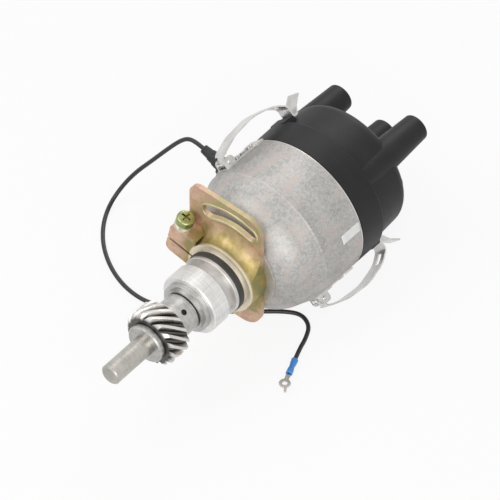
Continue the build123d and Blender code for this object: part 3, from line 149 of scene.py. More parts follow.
class Board:
    """Node tree of one material, with its Principled shader."""

    def __init__(self, name: str) -> None:
        """Start a material with an empty Principled shader.

        Args:
            name: Name of the material.
        """
        self.material = bpy.data.materials.new(name)
        self.material.use_nodes = True
        self.tree = self.material.node_tree
        self.shader = self.tree.nodes["Principled BSDF"]
        self.place = self.node("ShaderNodeTexCoord").outputs["Object"]

    def node(self, kind: str, settings: dict | None = None, feeds: dict | None = None) -> bpy.types.Node:
        """Add a node, set it, then give it its values and links.

        Args:
            kind: Type of the node.
            settings: Properties of the node, set first.
            feeds: Values or signals for its inputs, by name or number.

        Returns:
            The new node.
        """
        node = self.tree.nodes.new(kind)
        for key, value in (settings or {}).items():
            setattr(node, key, value)
        for key, value in (feeds or {}).items():
            self.feed(node.inputs[key], value)
        return node

    def feed(self, target: bpy.types.NodeSocket, value: Feed | bpy.types.NodeSocket) -> None:
        """Link a signal to an input, or set its number.

        Args:
            target: Input socket.
            value: Signal, socket, number or tuple.
        """
        if isinstance(value, Signal):
            self.tree.links.new(value.socket, target)
        elif isinstance(value, bpy.types.NodeSocket):
            self.tree.links.new(value, target)
        else:
            target.default_value = value

    def stretched(self, scale: Sequence[float]) -> bpy.types.NodeSocket:
        """Object coordinates, stretched along each axis."""
        return self.node("ShaderNodeMapping", {}, {0: self.place, "Scale": tuple(scale)}).outputs[0]

    def noise(self, size: float, detail: float = 3.0, stretch: Sequence[float] = (1, 1, 1)) -> Signal:
        """Noise with features of about the given size.

        Args:
            size: Size of the features in metres.
            detail: Octaves of the noise.
            stretch: Factor on each axis, where less than 1 draws the features out.

        Returns:
            Value from 0 to 1.
        """
        feeds = {"Vector": self.stretched(stretch), "Scale": 1.0 / size, "Detail": detail, "Roughness": 0.55}
        return Signal(self, self.node("ShaderNodeTexNoise", {}, feeds).outputs[0])

    def axes(self) -> tuple[Signal, Signal, Signal]:
        """Object coordinates as three values."""
        node = self.node("ShaderNodeSeparateXYZ", {}, {0: self.place})
        return tuple(Signal(self, out) for out in node.outputs)

    def radius(self) -> Signal:
        """Distance from the shaft's axis."""
        _, y, z = self.axes()
        return (y * y + z * z) ** 0.5

    def ramp(self, value: Signal, stops: Sequence[tuple[float, Colour]]) -> Signal:
        """Colour ramp.

        Args:
            value: Value that picks the colour.
            stops: Positions and colours, at least two.

        Returns:
            Colour signal.
        """
        node = self.tree.nodes.new("ShaderNodeValToRGB")
        elements = node.color_ramp.elements
        while len(elements) < len(stops):
            elements.new(0.5)
        for element, (position, colour) in zip(elements, stops):
            element.position = position
            element.color = (*colour, 1.0)
        self.feed(node.inputs[0], value)
        return Signal(self, node.outputs[0])

    def mix(self, factor: Feed, first: Feed, second: Feed) -> Signal:
        """Blend two colours.

        Args:
            factor: Share of the second.
            first: First colour.
            second: Second colour.

        Returns:
            Colour signal.
        """
        node = self.node("ShaderNodeMix", {"data_type": "RGBA"})
        for index, value in ((0, factor), (6, first), (7, second)):
            if isinstance(value, tuple):
                value = (*value, 1.0)
            self.feed(node.inputs[index], value)
        return Signal(self, node.outputs[2])

    def bump(self, height: Signal, depth: float) -> None:
        """Roughen the surface.

        Args:
            height: Height from 0 to 1.
            depth: Real depth that a height of 1 stands for, in metres.
        """
        node = self.node("ShaderNodeBump", {}, {"Strength": 1.0, "Distance": depth, "Height": height})
        self.tree.links.new(node.outputs[0], self.shader.inputs["Normal"])

    def dress(self, **feeds: Feed) -> bpy.types.Material:
        """Feed the Principled shader.

        Args:
            feeds: Values or signals by socket name, with spaces as underscores.

        Returns:
            The finished material.
        """
        for key, value in feeds.items():
            if isinstance(value, tuple) and len(value) == 3:
                value = (*value, 1.0)
            self.feed(self.shader.inputs[key.replace("_", " ")], value)
        return self.material


# Finishes

class Grain(Enum):
    """Direction in which a metal's fine lines run."""

    NONE = (1.0, 1.0, 1.0)
    AROUND_SHAFT = (1.0, 0.02, 0.02)
    ALONG_SHAFT = (0.03, 1.0, 1.0)


@dataclass(frozen=True)
class MetalFinish:
    """Bare or plated metal with tone variation, fine lines and small marks."""

    name: str
    light: Colour
    dark: Colour
    shine: float = 0.28
    dull: float = 0.45
    grain: Grain = Grain.NONE
    grain_size: float = 0.25 * MM
    grain_depth: float = 0.012 * MM
    blotch_size: float = 9.0 * MM
    mark_size: float = 1.3 * MM
    metal: float = 1.0

    def make(self) -> bpy.types.Material:
        """Build the material.

        Returns:
            The material.
        """
        board = Board(self.name)
        blotch = board.noise(self.blotch_size, 4.0)
        lines = board.noise(self.grain_size, 2.0, self.grain.value)
        marks = board.noise(self.mark_size, 5.0)
        tone = (blotch * 0.55 + lines * 0.3 + marks * 0.15).rise(0.3, 0.7)
        colour = board.mix(tone, self.dark, self.light)
        rough = (lines * 0.6 + blotch * 0.4).rise(0.3, 0.7).between(self.shine, self.dull)
        board.bump(lines + marks * 0.4, self.grain_depth)
        return board.dress(Base_Color=colour, Metallic=self.metal, Roughness=rough)


@dataclass(frozen=True)
class MouldedFinish:
    """Moulded plastic, rubber or vinyl with a faint grain and handling marks."""

    name: str
    colour: Colour
    faded: Colour
    shine: float = 0.35
    dull: float = 0.55
    cloud_size: float = 14.0 * MM
    grain_size: float = 0.6 * MM
    grain_depth: float = 0.02 * MM
    scuff_size: float = 2.2 * MM
    scuff_stretch: tuple[float, float, float] = (0.35, 1.0, 1.0)
    coat: float = 0.0
    specular: float = 0.5

    def make(self) -> bpy.types.Material:
        """Build the material.

        Returns:
            The material.
        """
        board = Board(self.name)
        cloud = board.noise(self.cloud_size, 4.0)
        grain = board.noise(self.grain_size, 2.0)
        scuff = board.noise(self.scuff_size, 6.0, self.scuff_stretch).rise(0.58, 0.74)
        wear = (cloud.rise(0.35, 0.75) * 0.7 + scuff * 0.3).clamp()
        colour = board.mix(wear, self.colour, self.faded)
        rough = (cloud * 0.5 + grain * 0.5).rise(0.3, 0.7).between(self.shine, self.dull)
        board.bump(grain + scuff * 0.5, self.grain_depth)
        return board.dress(
            Base_Color=colour, Roughness=rough, Coat_Weight=self.coat, Specular_IOR_Level=self.specular
        )


@dataclass(frozen=True)
class CastFinish:
    """As-cast light alloy on the bowl, turned to a pale finish on the shank, with a pale band at the rim that
    is partly its machined face and partly a painted highlight.
    """

    name: str = "cast_alloy"
    light: Colour = (0.57, 0.56, 0.54)
    dark: Colour = (0.31, 0.30, 0.285)
    blush: Colour = (0.49, 0.415, 0.385)
    turned: Colour = (0.84, 0.83, 0.81)
    turned_dark: Colour = (0.60, 0.60, 0.59)
    smooth: Colour = (0.72, 0.70, 0.67)
    smooth_dark: Colour = (0.52, 0.50, 0.48)
    seat_height: float = 0.0
    seat_fade: float = 0.3 * MM
    pilot_end: float = -27.0 * MM
    pilot_fade: float = 0.2 * MM
    rim_height: float = 60.0 * MM
    # The rim band is partly the machined rim and partly a painted highlight of its edge.
    rim_width: float = 1.3 * MM
    rim_fade: float = 0.3 * MM
    cloud_size: float = 22.0 * MM
    mottle_size: float = 1.7 * MM
    skin_size: float = 0.5 * MM
    skin_depth: float = 0.07 * MM
    flow_size: float = 7.0 * MM
    flow_stretch: tuple[float, float, float] = (0.35, 1.0, 1.0)
    ring_size: float = 0.32 * MM
    hatch_size: float = 0.5 * MM

    def make(self) -> bpy.types.Material:
        """Build the material.

        Returns:
            The material.
        """
        board = Board(self.name)
        along, _, _ = board.axes()
        shank = (1 - along.rise(self.seat_height - self.seat_fade, self.seat_height + self.seat_fade)).clamp()
        # Pale band: the turned shank, plus a rim band that is partly machined and partly a painted highlight
        # of the rim's edge.
        rim_start = self.rim_height - self.rim_width
        turned_and_rim_highlight = (shank + along.rise(rim_start, rim_start + self.rim_fade)).clamp()
        pilot = 1 - along.rise(self.pilot_end - self.pilot_fade, self.pilot_end + self.pilot_fade)
        cloud = board.noise(self.cloud_size, 4.0)
        mottle = board.noise(self.mottle_size, 6.0)
        skin = board.noise(self.skin_size, 5.0)
        flow = board.noise(self.flow_size, 3.0, self.flow_stretch)
        rings = board.noise(self.ring_size, 2.0, Grain.AROUND_SHAFT.value)
        hatch = board.noise(self.hatch_size, 3.0, Grain.ALONG_SHAFT.value)
        tone = (cloud * 0.15 + mottle * 0.3 + skin * 0.4 + flow * 0.15).rise(0.37, 0.63)
        cast = board.mix(tone, self.dark, self.light)
        cast = board.mix((flow.rise(0.46, 0.68) * 0.6).clamp(), cast, self.blush)
        smooth = board.mix(cloud.rise(0.35, 0.65), self.smooth_dark, self.smooth)
        cut = board.mix((rings * 0.5 + hatch * 0.5).rise(0.35, 0.65), self.turned_dark, self.turned)
        colour = board.mix(turned_and_rim_highlight, cast, board.mix(pilot, smooth, cut))
        cast_rough = (mottle * 0.5 + skin * 0.5).rise(0.3, 0.7).between(0.46, 0.64)
        turned_rough = rings.rise(0.3, 0.7).between(0.30, 0.44)
        rough = cast_rough * (1 - turned_and_rim_highlight) + turned_rough * turned_and_rim_highlight
        relief = (skin * 0.7 + mottle * 0.6) * (1 - turned_and_rim_highlight) + (rings + hatch * pilot) * turned_and_rim_highlight * 0.15
        board.bump(relief, self.skin_depth)
        return board.dress(Base_Color=colour, Metallic=0.7, Roughness=rough)


@dataclass(frozen=True)
class YellowZincFinish:
    """Yellow passivated zinc: gold in the hollow of the flare, pink and olive on the flats."""

    name: str = "yellow_zinc"
    gold: Colour = (0.36, 0.275, 0.10)
    light_gold: Colour = (0.46, 0.365, 0.17)
    olive: Colour = (0.25, 0.235, 0.09)
    pink: Colour = (0.56, 0.36, 0.275)
    tan: Colour = (0.68, 0.48, 0.33)
    straw: Colour = (0.50, 0.44, 0.21)
    edge: Colour = (0.42, 0.375, 0.20)
    pale: Colour = (0.78, 0.70, 0.54)
    flare_start: float = 24.0 * MM
    flare_end: float = 34.0 * MM
    flare_wander: float = 14.0 * MM
    edge_low: float = 26.0 * MM
    edge_full: float = 36.0 * MM
    edge_near: float = 10.0 * MM
    edge_far: float = 26.0 * MM
    lip_near: float = -13.2 * MM
    lip_far: float = -11.4 * MM
    collar_radius: float = 23.0 * MM
    collar_fade: float = 0.6 * MM
    drift_size: float = 11.0 * MM
    cloud_size: float = 5.0 * MM
    fine_size: float = 0.5 * MM
    depth: float = 0.03 * MM

    def make(self) -> bpy.types.Material:
        """Build the material.

        Returns:
            The material.
        """
        board = Board(self.name)
        drift = board.noise(self.drift_size, 3.0)
        cloud = board.noise(self.cloud_size, 4.0)
        fine = board.noise(self.fine_size, 3.0)
        along, across, up = board.axes()
        radius = board.radius()
        reach = (radius + (drift - 0.5) * self.flare_wander).rise(self.flare_start, self.flare_end)
        hollow = board.ramp(drift, [(0.36, self.olive), (0.5, self.gold), (0.62, self.light_gold)])
        flat = board.ramp(cloud, [(0.42, self.pink), (0.58, self.tan), (0.72, self.straw)])
        top = up.rise(self.edge_low, self.edge_full)
        near = 1 - across.rise(self.edge_near, self.edge_far)
        flat = board.mix((top * near * cloud.rise(0.3, 0.55)).clamp(), flat, self.edge)
        zinc = board.mix(reach, hollow, flat)
        lip = 1 - along.rise(self.lip_near, self.lip_far)
        collar = 1 - radius.rise(self.collar_radius, self.collar_radius + self.collar_fade)
        colour = board.mix((lip * collar).clamp(), zinc, self.pale)
        rough = (cloud * 0.5 + fine * 0.5).rise(0.3, 0.7).between(0.42, 0.58)
        board.bump(fine + cloud * 0.6, self.depth)
        return board.dress(Base_Color=colour, Metallic=0.8, Roughness=rough)


@dataclass(frozen=True)
class GearFinish:
    """Cut steel, light on the tooth lands and flanks, with painted shade darkening the tooth valleys and a
    painted dark line at the hub's end.
    """

    name: str = "gear_steel"
    land: Colour = (0.66, 0.64, 0.61)
    # Painted shade colour of the tooth valleys.
    painted_valley_shade: Colour = (0.10, 0.095, 0.09)
    hub: Colour = (0.58, 0.57, 0.55)
    hub_dark: Colour = (0.34, 0.33, 0.32)
    # Painted shade colour: a near-black line on the hub's end, at its gap to the thrust washer.
    painted_gap_shade: Colour = (0.03, 0.028, 0.026)
    root: float = 14.6 * MM
    tip: float = 17.2 * MM
    teeth_start: float = -76.5 * MM
    teeth_end: float = -59.5 * MM
    start_fade: float = 0.4 * MM
    end_fade: float = 2.0 * MM
    gap_shade_start: float = -46.65 * MM
    gap_shade_full: float = -46.5 * MM
    blotch_size: float = 4.0 * MM
    line_size: float = 0.25 * MM
    depth: float = 0.015 * MM

    def make(self) -> bpy.types.Material:
        """Build the material.

        Returns:
            The material.
        """
        board = Board(self.name)
        along, _, _ = board.axes()
        start = along.rise(self.teeth_start - self.start_fade, self.teeth_start)
        end = along.rise(self.teeth_end, self.teeth_end + self.end_fade)
        height = board.radius().rise(self.root, self.tip)
        blotch = board.noise(self.blotch_size, 4.0)
        lines = board.noise(self.line_size, 2.0, Grain.AROUND_SHAFT.value)
        # Painted shade: the teeth darken towards the root, where shade falls between them.
        teeth = board.mix((height + (blotch - 0.5) * 0.5).clamp(), self.painted_valley_shade, self.land)
        body = board.mix((lines * 0.5 + blotch * 0.5).rise(0.3, 0.7), self.hub_dark, self.hub)
        steel = board.mix(start * (1 - end), body, teeth)
        # Painted shade: the hub's end beyond this point is near black, in place of the dark gap at the thrust
        # washer.
        colour = board.mix(along.rise(self.gap_shade_start, self.gap_shade_full), steel, self.painted_gap_shade)
        rough = (lines * 0.5 + blotch * 0.5).rise(0.3, 0.7).between(0.24, 0.42)
        board.bump(lines + blotch * 0.4, self.depth)
        return board.dress(Base_Color=colour, Metallic=1.0, Roughness=rough)


class Finishes:
    """Every finish, made once and handed out by name."""

    def __init__(self) -> None:
        """Make the materials."""
        lathe, length = Grain.AROUND_SHAFT, Grain.ALONG_SHAFT
        made = [
            CastFinish(),
            YellowZincFinish(),
            GearFinish(),
            MetalFinish("green_zinc", (0.50, 0.52, 0.26), (0.20, 0.23, 0.08), 0.25, 0.42),
            MetalFinish("washer_zinc", (0.74, 0.72, 0.62), (0.48, 0.46, 0.36), 0.25, 0.40),
            MetalFinish("ground_steel", (0.54, 0.52, 0.48), (0.32, 0.31, 0.28), 0.24, 0.38, lathe),
            MetalFinish("dark_pin", (0.05, 0.048, 0.045), (0.02, 0.02, 0.02), 0.4, 0.6),
            MetalFinish("washer_steel", (0.60, 0.59, 0.57), (0.38, 0.37, 0.36), 0.26, 0.42, lathe),
            MetalFinish("inner_steel", (0.58, 0.57, 0.54), (0.38, 0.37, 0.34), 0.28, 0.46),
            MetalFinish("leaf_steel", (0.62, 0.61, 0.60), (0.45, 0.44, 0.43), 0.22, 0.36, length),
            MetalFinish("plated_sheet", (0.70, 0.67, 0.56), (0.50, 0.47, 0.38), 0.26, 0.42),
            MetalFinish("rim_zinc", (0.68, 0.60, 0.38), (0.40, 0.37, 0.19), 0.36, 0.50, metal=0.8),
            MetalFinish("bracket_steel", (0.74, 0.73, 0.71), (0.4, 0.39, 0.37), 0.2, 0.34, length, metal=0.8),
            MetalFinish("clip_steel", (0.74, 0.73, 0.71), (0.48, 0.47, 0.45), 0.2, 0.34, length, metal=0.85),
            MetalFinish("pin_steel", (0.70, 0.69, 0.66), (0.50, 0.49, 0.47), 0.22, 0.36),
            MetalFinish("contact_brass", (0.85, 0.66, 0.33), (0.60, 0.42, 0.17), 0.22, 0.40),
            MetalFinish("bush_bronze", (0.62, 0.44, 0.22), (0.42, 0.28, 0.13), 0.34, 0.52, lathe),
            MetalFinish("condenser_can", (0.80, 0.80, 0.80), (0.62, 0.62, 0.62), 0.22, 0.36),
            MetalFinish("tinned_sheet", (0.80, 0.79, 0.75), (0.52, 0.50, 0.45), 0.20, 0.38),
            MouldedFinish("cap_moulding", (0.008, 0.008, 0.009), (0.019, 0.018, 0.019), 0.42, 0.58,
                           specular=0.3),
            MouldedFinish("rotor_moulding", (0.10, 0.035, 0.02), (0.16, 0.07, 0.045), 0.30, 0.48),
            MouldedFinish("post_moulding", (0.06, 0.03, 0.02), (0.10, 0.06, 0.04), 0.35, 0.50),
            MouldedFinish("seal_rubber", (0.026, 0.023, 0.021), (0.055, 0.050, 0.046), 0.42, 0.6),
            MouldedFinish("grommet_rubber", (0.012, 0.012, 0.012), (0.035, 0.034, 0.033), 0.45, 0.68),
            MouldedFinish("lead_sheath", (0.010, 0.010, 0.011), (0.030, 0.030, 0.030), 0.34, 0.5),
            MouldedFinish("sleeve_blue", (0.03, 0.23, 0.64), (0.06, 0.33, 0.76), 0.26, 0.42, coat=0.3),
            MouldedFinish("brush_carbon", (0.03, 0.03, 0.03), (0.06, 0.06, 0.06), 0.45, 0.6),
            MouldedFinish("sticker_film", (0.78, 0.78, 0.76), (0.88, 0.88, 0.86), 0.28, 0.42),
        ]
        self.by_name = {finish.name: finish.make() for finish in made}

    def put(self, piece: bpy.types.Object, name: str) -> None:
        """Give a piece one finish.

        Args:
            piece: Mesh or curve object.
            name: Name of the finish.
        """
        piece.data.materials.clear()
        piece.data.materials.append(self.by_name[name])


# Mesh helpers

def lathe(outline: Sequence[tuple[float, float]], steps: int = 64) -> bmesh.types.BMesh:
    """Turn an outline about Z.

    Args:
        outline: Radius and height of each point, in metres.
        steps: Faces around.

    Returns:
        Closed mesh.
    """
    mesh = bmesh.new()
    verts = [mesh.verts.new((radius, 0.0, height)) for radius, height in outline]
    edges = [mesh.edges.new(pair) for pair in zip(verts, verts[1:])]
    bmesh.ops.spin(
        mesh, geom=verts + edges, cent=(0, 0, 0), axis=(0, 0, 1), angle=math.tau, steps=steps, use_merge=True
    )
    bmesh.ops.remove_doubles(mesh, verts=mesh.verts, dist=1e-6)
    bmesh.ops.recalc_face_normals(mesh, faces=mesh.faces)
    return mesh


def stepped(profile: Outline, radius: float, height: float) -> list[tuple[float, float]]:
    """Part of a turned outline.

    Args:
        profile: Offsets in millimetres, out from the radius and up from the height.
        radius: Radius that the offsets start from, in metres.
        height: Height that the offsets start from, in metres.

    Returns:
        Radius and height of each point, in metres.
    """
    return [(radius + out * MM, height + up * MM) for out, up in profile]


def finished(mesh: bmesh.types.BMesh, name: str, place: Matrix, smooth: bool = True) -> bpy.types.Object:
    """Turn a mesh into an object at the origin, with its place in its mesh.

    Args:
        mesh: Mesh, freed afterwards.
        name: Name of the piece.
        place: Where the mesh goes.
        smooth: Whether its faces are shaded smooth.

    Returns:
        The new object.
    """
    bmesh.ops.transform(mesh, matrix=place, verts=mesh.verts)
    for face in mesh.faces:
        face.smooth = smooth
    data = bpy.data.meshes.new(name)
    mesh.to_mesh(data)
    mesh.free()
    piece = bpy.data.objects.new(name, data)
    bpy.context.scene.collection.objects.link(piece)
    return piece


def pointing(origin: Vector, direction: Vector) -> Matrix:
    """Place that turns +Z to a direction.

    Args:
        origin: Where the origin goes.
        direction: Where +Z goes.

    Returns:
        The place as a matrix.
    """
    turn = direction.to_track_quat("Z", "Y").to_matrix().to_4x4()
    return Matrix.Translation(origin) @ turn


# Sub-assemblies

@dataclass(frozen=True)
class Lamp:
    """Soft square lamp that faces the object."""

    name: str
    place: tuple[float, float, float]
    size: float
    power: float

    def hang(self, scene: bpy.types.Scene, target: Vector) -> None:
        """Hang the lamp.

        Args:
            scene: Scene that gets the lamp.
            target: Point that it faces.
        """
        data = bpy.data.lights.new(self.name, "AREA")
        data.size = self.size
        data.energy = self.power
        lamp = bpy.data.objects.new(self.name, data)
        lamp.location = self.place
        lamp.rotation_euler = (Vector(self.place) - target).to_track_quat("Z", "Y").to_euler()
        scene.collection.objects.link(lamp)


@dataclass
class Studio:
    """Floor, lamps, world and camera."""

    target: Vector = field(default_factory=lambda: Vector((25.8, 10.9, -17.5)) * MM)
    azimuth: float = -50.1
    elevation: float = 47.8
    distance: float = 5.0
    frame_width: float = 285.7 * MM
    sensor: float = 36.0
    floor_size: float = 6.0
    floor_glow: float = 0.88
    floor_tone: Colour = (0.86, 0.86, 0.86)
    world_level: float = 0.38
    lamps: tuple[Lamp, ...] = (
        Lamp("key", (-0.5, 0.55, 0.95), 0.8, 5.0),
        Lamp("fill", (-0.75, -0.75, 0.55), 0.9, 7.5),
        Lamp("back", (0.9, 0.35, 0.7), 0.6, 3.5),
    )

    def build(self) -> None:
        """Make everything that isn't part of the object."""
        scene = bpy.context.scene
        scene.view_settings.view_transform = "Standard"
        self.build_camera(scene)
        self.build_floor()
        self.build_world(scene)
        for lamp in self.lamps:
            lamp.hang(scene, self.target)
        LOG.info("studio: camera, floor, world and %d lamps", len(self.lamps))

    def build_camera(self, scene: bpy.types.Scene) -> None:
        """Set the camera at the photograph's angle.

        Args:
            scene: Scene that gets the camera.
        """
        side = math.radians(self.azimuth)
        rise = math.radians(self.elevation)
        back = Vector((math.sin(side) * math.cos(rise), -math.cos(side) * math.cos(rise), math.sin(rise)))
        data = bpy.data.cameras.new("camera")
        data.sensor_width = self.sensor
        data.lens = self.sensor * self.distance / self.frame_width
        camera = bpy.data.objects.new("camera", data)
        camera.location = self.target + back * self.distance
        camera.rotation_euler = (-back).to_track_quat("-Z", "Y").to_euler()
        scene.collection.objects.link(camera)
        scene.camera = camera

    def build_floor(self) -> None:
        """Lay a pale floor that keeps a soft shadow."""
        mesh = bmesh.new()
        bmesh.ops.create_grid(mesh, x_segments=1, y_segments=1, size=self.floor_size / 2)
        floor = finished(mesh, "floor", Matrix.Translation((0, 0, FLOOR_HEIGHT)), smooth=False)
        board = Board("floor_paint")
        board.dress(Base_Color=self.floor_tone, Roughness=0.9)
        path = board.node("ShaderNodeLightPath")
        camera, glossy, through = (
            Signal(board, path.outputs[name])
            for name in ("Is Camera Ray", "Is Glossy Ray", "Is Transmission Ray")
        )
        glow = board.node("ShaderNodeEmission", {}, {"Color": (1.0, 1.0, 1.0, 1.0), "Strength": 1.0})
        lit = (camera + glossy + through).clamp() * self.floor_glow
        mixed = board.node("ShaderNodeMixShader", {}, {0: lit})
        board.tree.links.new(board.shader.outputs[0], mixed.inputs[1])
        board.tree.links.new(glow.outputs[0], mixed.inputs[2])
        out = board.tree.nodes["Material Output"]
        board.tree.links.new(mixed.outputs[0], out.inputs["Surface"])
        floor.data.materials.append(board.material)

    def build_world(self, scene: bpy.types.Scene) -> None:
        """Light everything softly, with white behind the object and in its reflections.

        Args:
            scene: Scene that gets the world.
        """
        world = bpy.data.worlds.new("world")
        world.use_nodes = True
        tree = world.node_tree
        back = tree.nodes["Background"]
        path = tree.nodes.new("ShaderNodeLightPath")
        seen = path.outputs["Is Camera Ray"]
        for name in ("Is Glossy Ray", "Is Transmission Ray"):
            either = tree.nodes.new("ShaderNodeMath")
            either.operation = "MAXIMUM"
            tree.links.new(seen, either.inputs[0])
            tree.links.new(path.outputs[name], either.inputs[1])
            seen = either.outputs[0]
        strength = tree.nodes.new("ShaderNodeMapRange")
        strength.inputs["To Min"].default_value = self.world_level
        strength.inputs["To Max"].default_value = 1.0
        tree.links.new(seen, strength.inputs["Value"])
        tree.links.new(strength.outputs[0], back.inputs["Strength"])
        back.inputs["Color"].default_value = (1.0, 1.0, 1.0, 1.0)
        scene.world = world


@dataclass
class Lead:
    """Free black lead from the grommet, with its blue sleeve and tinned terminal."""

    finishes: Finishes
    radius: float = 1.3 * MM
    length: float = 0.302
    rest_height: float = -43.65 * MM
    sleeve_radius: float = 2.1 * MM
    sleeve_length: float = 12.0 * MM

    def route(self) -> list[Vector]:
        """Points of the lead's middle, from the grommet to the sleeve.

        Returns:
            The points in metres.
        """
        low = self.rest_height / MM
        points = [
            (44.5, 61.25, 17.563), (44.5, 67.02, 19.218), (44.2, 73.0, 18.2), (43.2, 79.0, 12.0),
            (41.0, 86.5, 1.5), (38.0, 95.0, -11.0), (34.5, 104.5, -24.5), (28.5, 110.5, -36.5),
            (18.0, 110.8, low), (4.0, 103.5, low), (-9.0, 92.0, low), (-19.5, 76.0, low),
            (-25.0, 59.0, low), (-24.5, 42.0, low), (-14.0, 22.5, low), (0.5, 4.0, low),
            (11.5, -9.0, low), (20.5, -19.5, low), (25.0, -28.5, low), (21.0, -37.5, low),
            (12.0, -42.0, low), (3.5, -44.5, low + 0.3), (-5.0, -48.1, low + 0.9),
        ]
        return [Vector(point) * MM for point in points]

    def build(self) -> None:
        """Make the lead and its sleeve, and dress the terminal."""
        points = self.route()
        sleeve = self.build_sleeve(points[-1], (points[-1] - points[-2]).normalized())
        fork = bpy.data.objects["lead_fork"]
        self.finishes.put(fork, "tinned_sheet")
        cord = self.build_cord(points)
        self.finishes.put(cord, "lead_sheath")
        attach(cord, "housing")
        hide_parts("lead")
        2 * self.radius
        LOG.info("lead: %d points", len(points))

    def build_cord(self, points: Sequence[Vector]) -> bpy.types.Object:
        """Make the lead as a round curve along its route.

        Args:
            points: Points of the lead's middle.

        Returns:
            The curve.
        """
        curve = bpy.data.curves.new("lead_cord", "CURVE")
        curve.dimensions = "3D"
        curve.bevel_depth = self.radius
        curve.bevel_resolution = 5
        curve.resolution_u = 10
        curve.use_fill_caps = True
        spline = curve.splines.new("NURBS")
        spline.points.add(len(points) - 1)
        for knot, point in zip(spline.points, points):
            knot.co = (*point, 1.0)
        spline.order_u = 3
        spline.use_endpoint_u = True
        cord = bpy.data.objects.new("lead_cord", curve)
        bpy.context.scene.collection.objects.link(cord)
        return cord

    def build_sleeve(self, start: Vector, direction: Vector) -> bpy.types.Object:
        """Make the vinyl sleeve with its bell mouth and crimped waist.

        Args:
            start: Middle of the end that the lead enters.
            direction: Way the sleeve points.

        Returns:
            The sleeve.
        """
        full, long = self.sleeve_radius, self.sleeve_length
        bore = self.radius + 0.02 * MM
        outline = [
            (bore, 0.6 * MM), (bore + 0.25 * MM, 0.0), (full - 0.1 * MM, 0.05 * MM), (full, 0.35 * MM),
            (full - 0.12 * MM, 0.9 * MM), (full - 0.2 * MM, 0.30 * long), (full - 0.5 * MM, 0.42 * long),
            (full - 0.5 * MM, 0.55 * long), (full - 0.2 * MM, 0.66 * long), (full - 0.1 * MM, 0.95 * long),
            (full - 0.25 * MM, long), (bore, long), (bore, 0.6 * MM),
        ]
        sleeve = finished(lathe(outline, 40), "sleeve_vinyl", pointing(start, direction))
        self.finishes.put(sleeve, "sleeve_blue")
        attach(sleeve, "housing")
        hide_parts("lead_sleeve")
        return sleeve


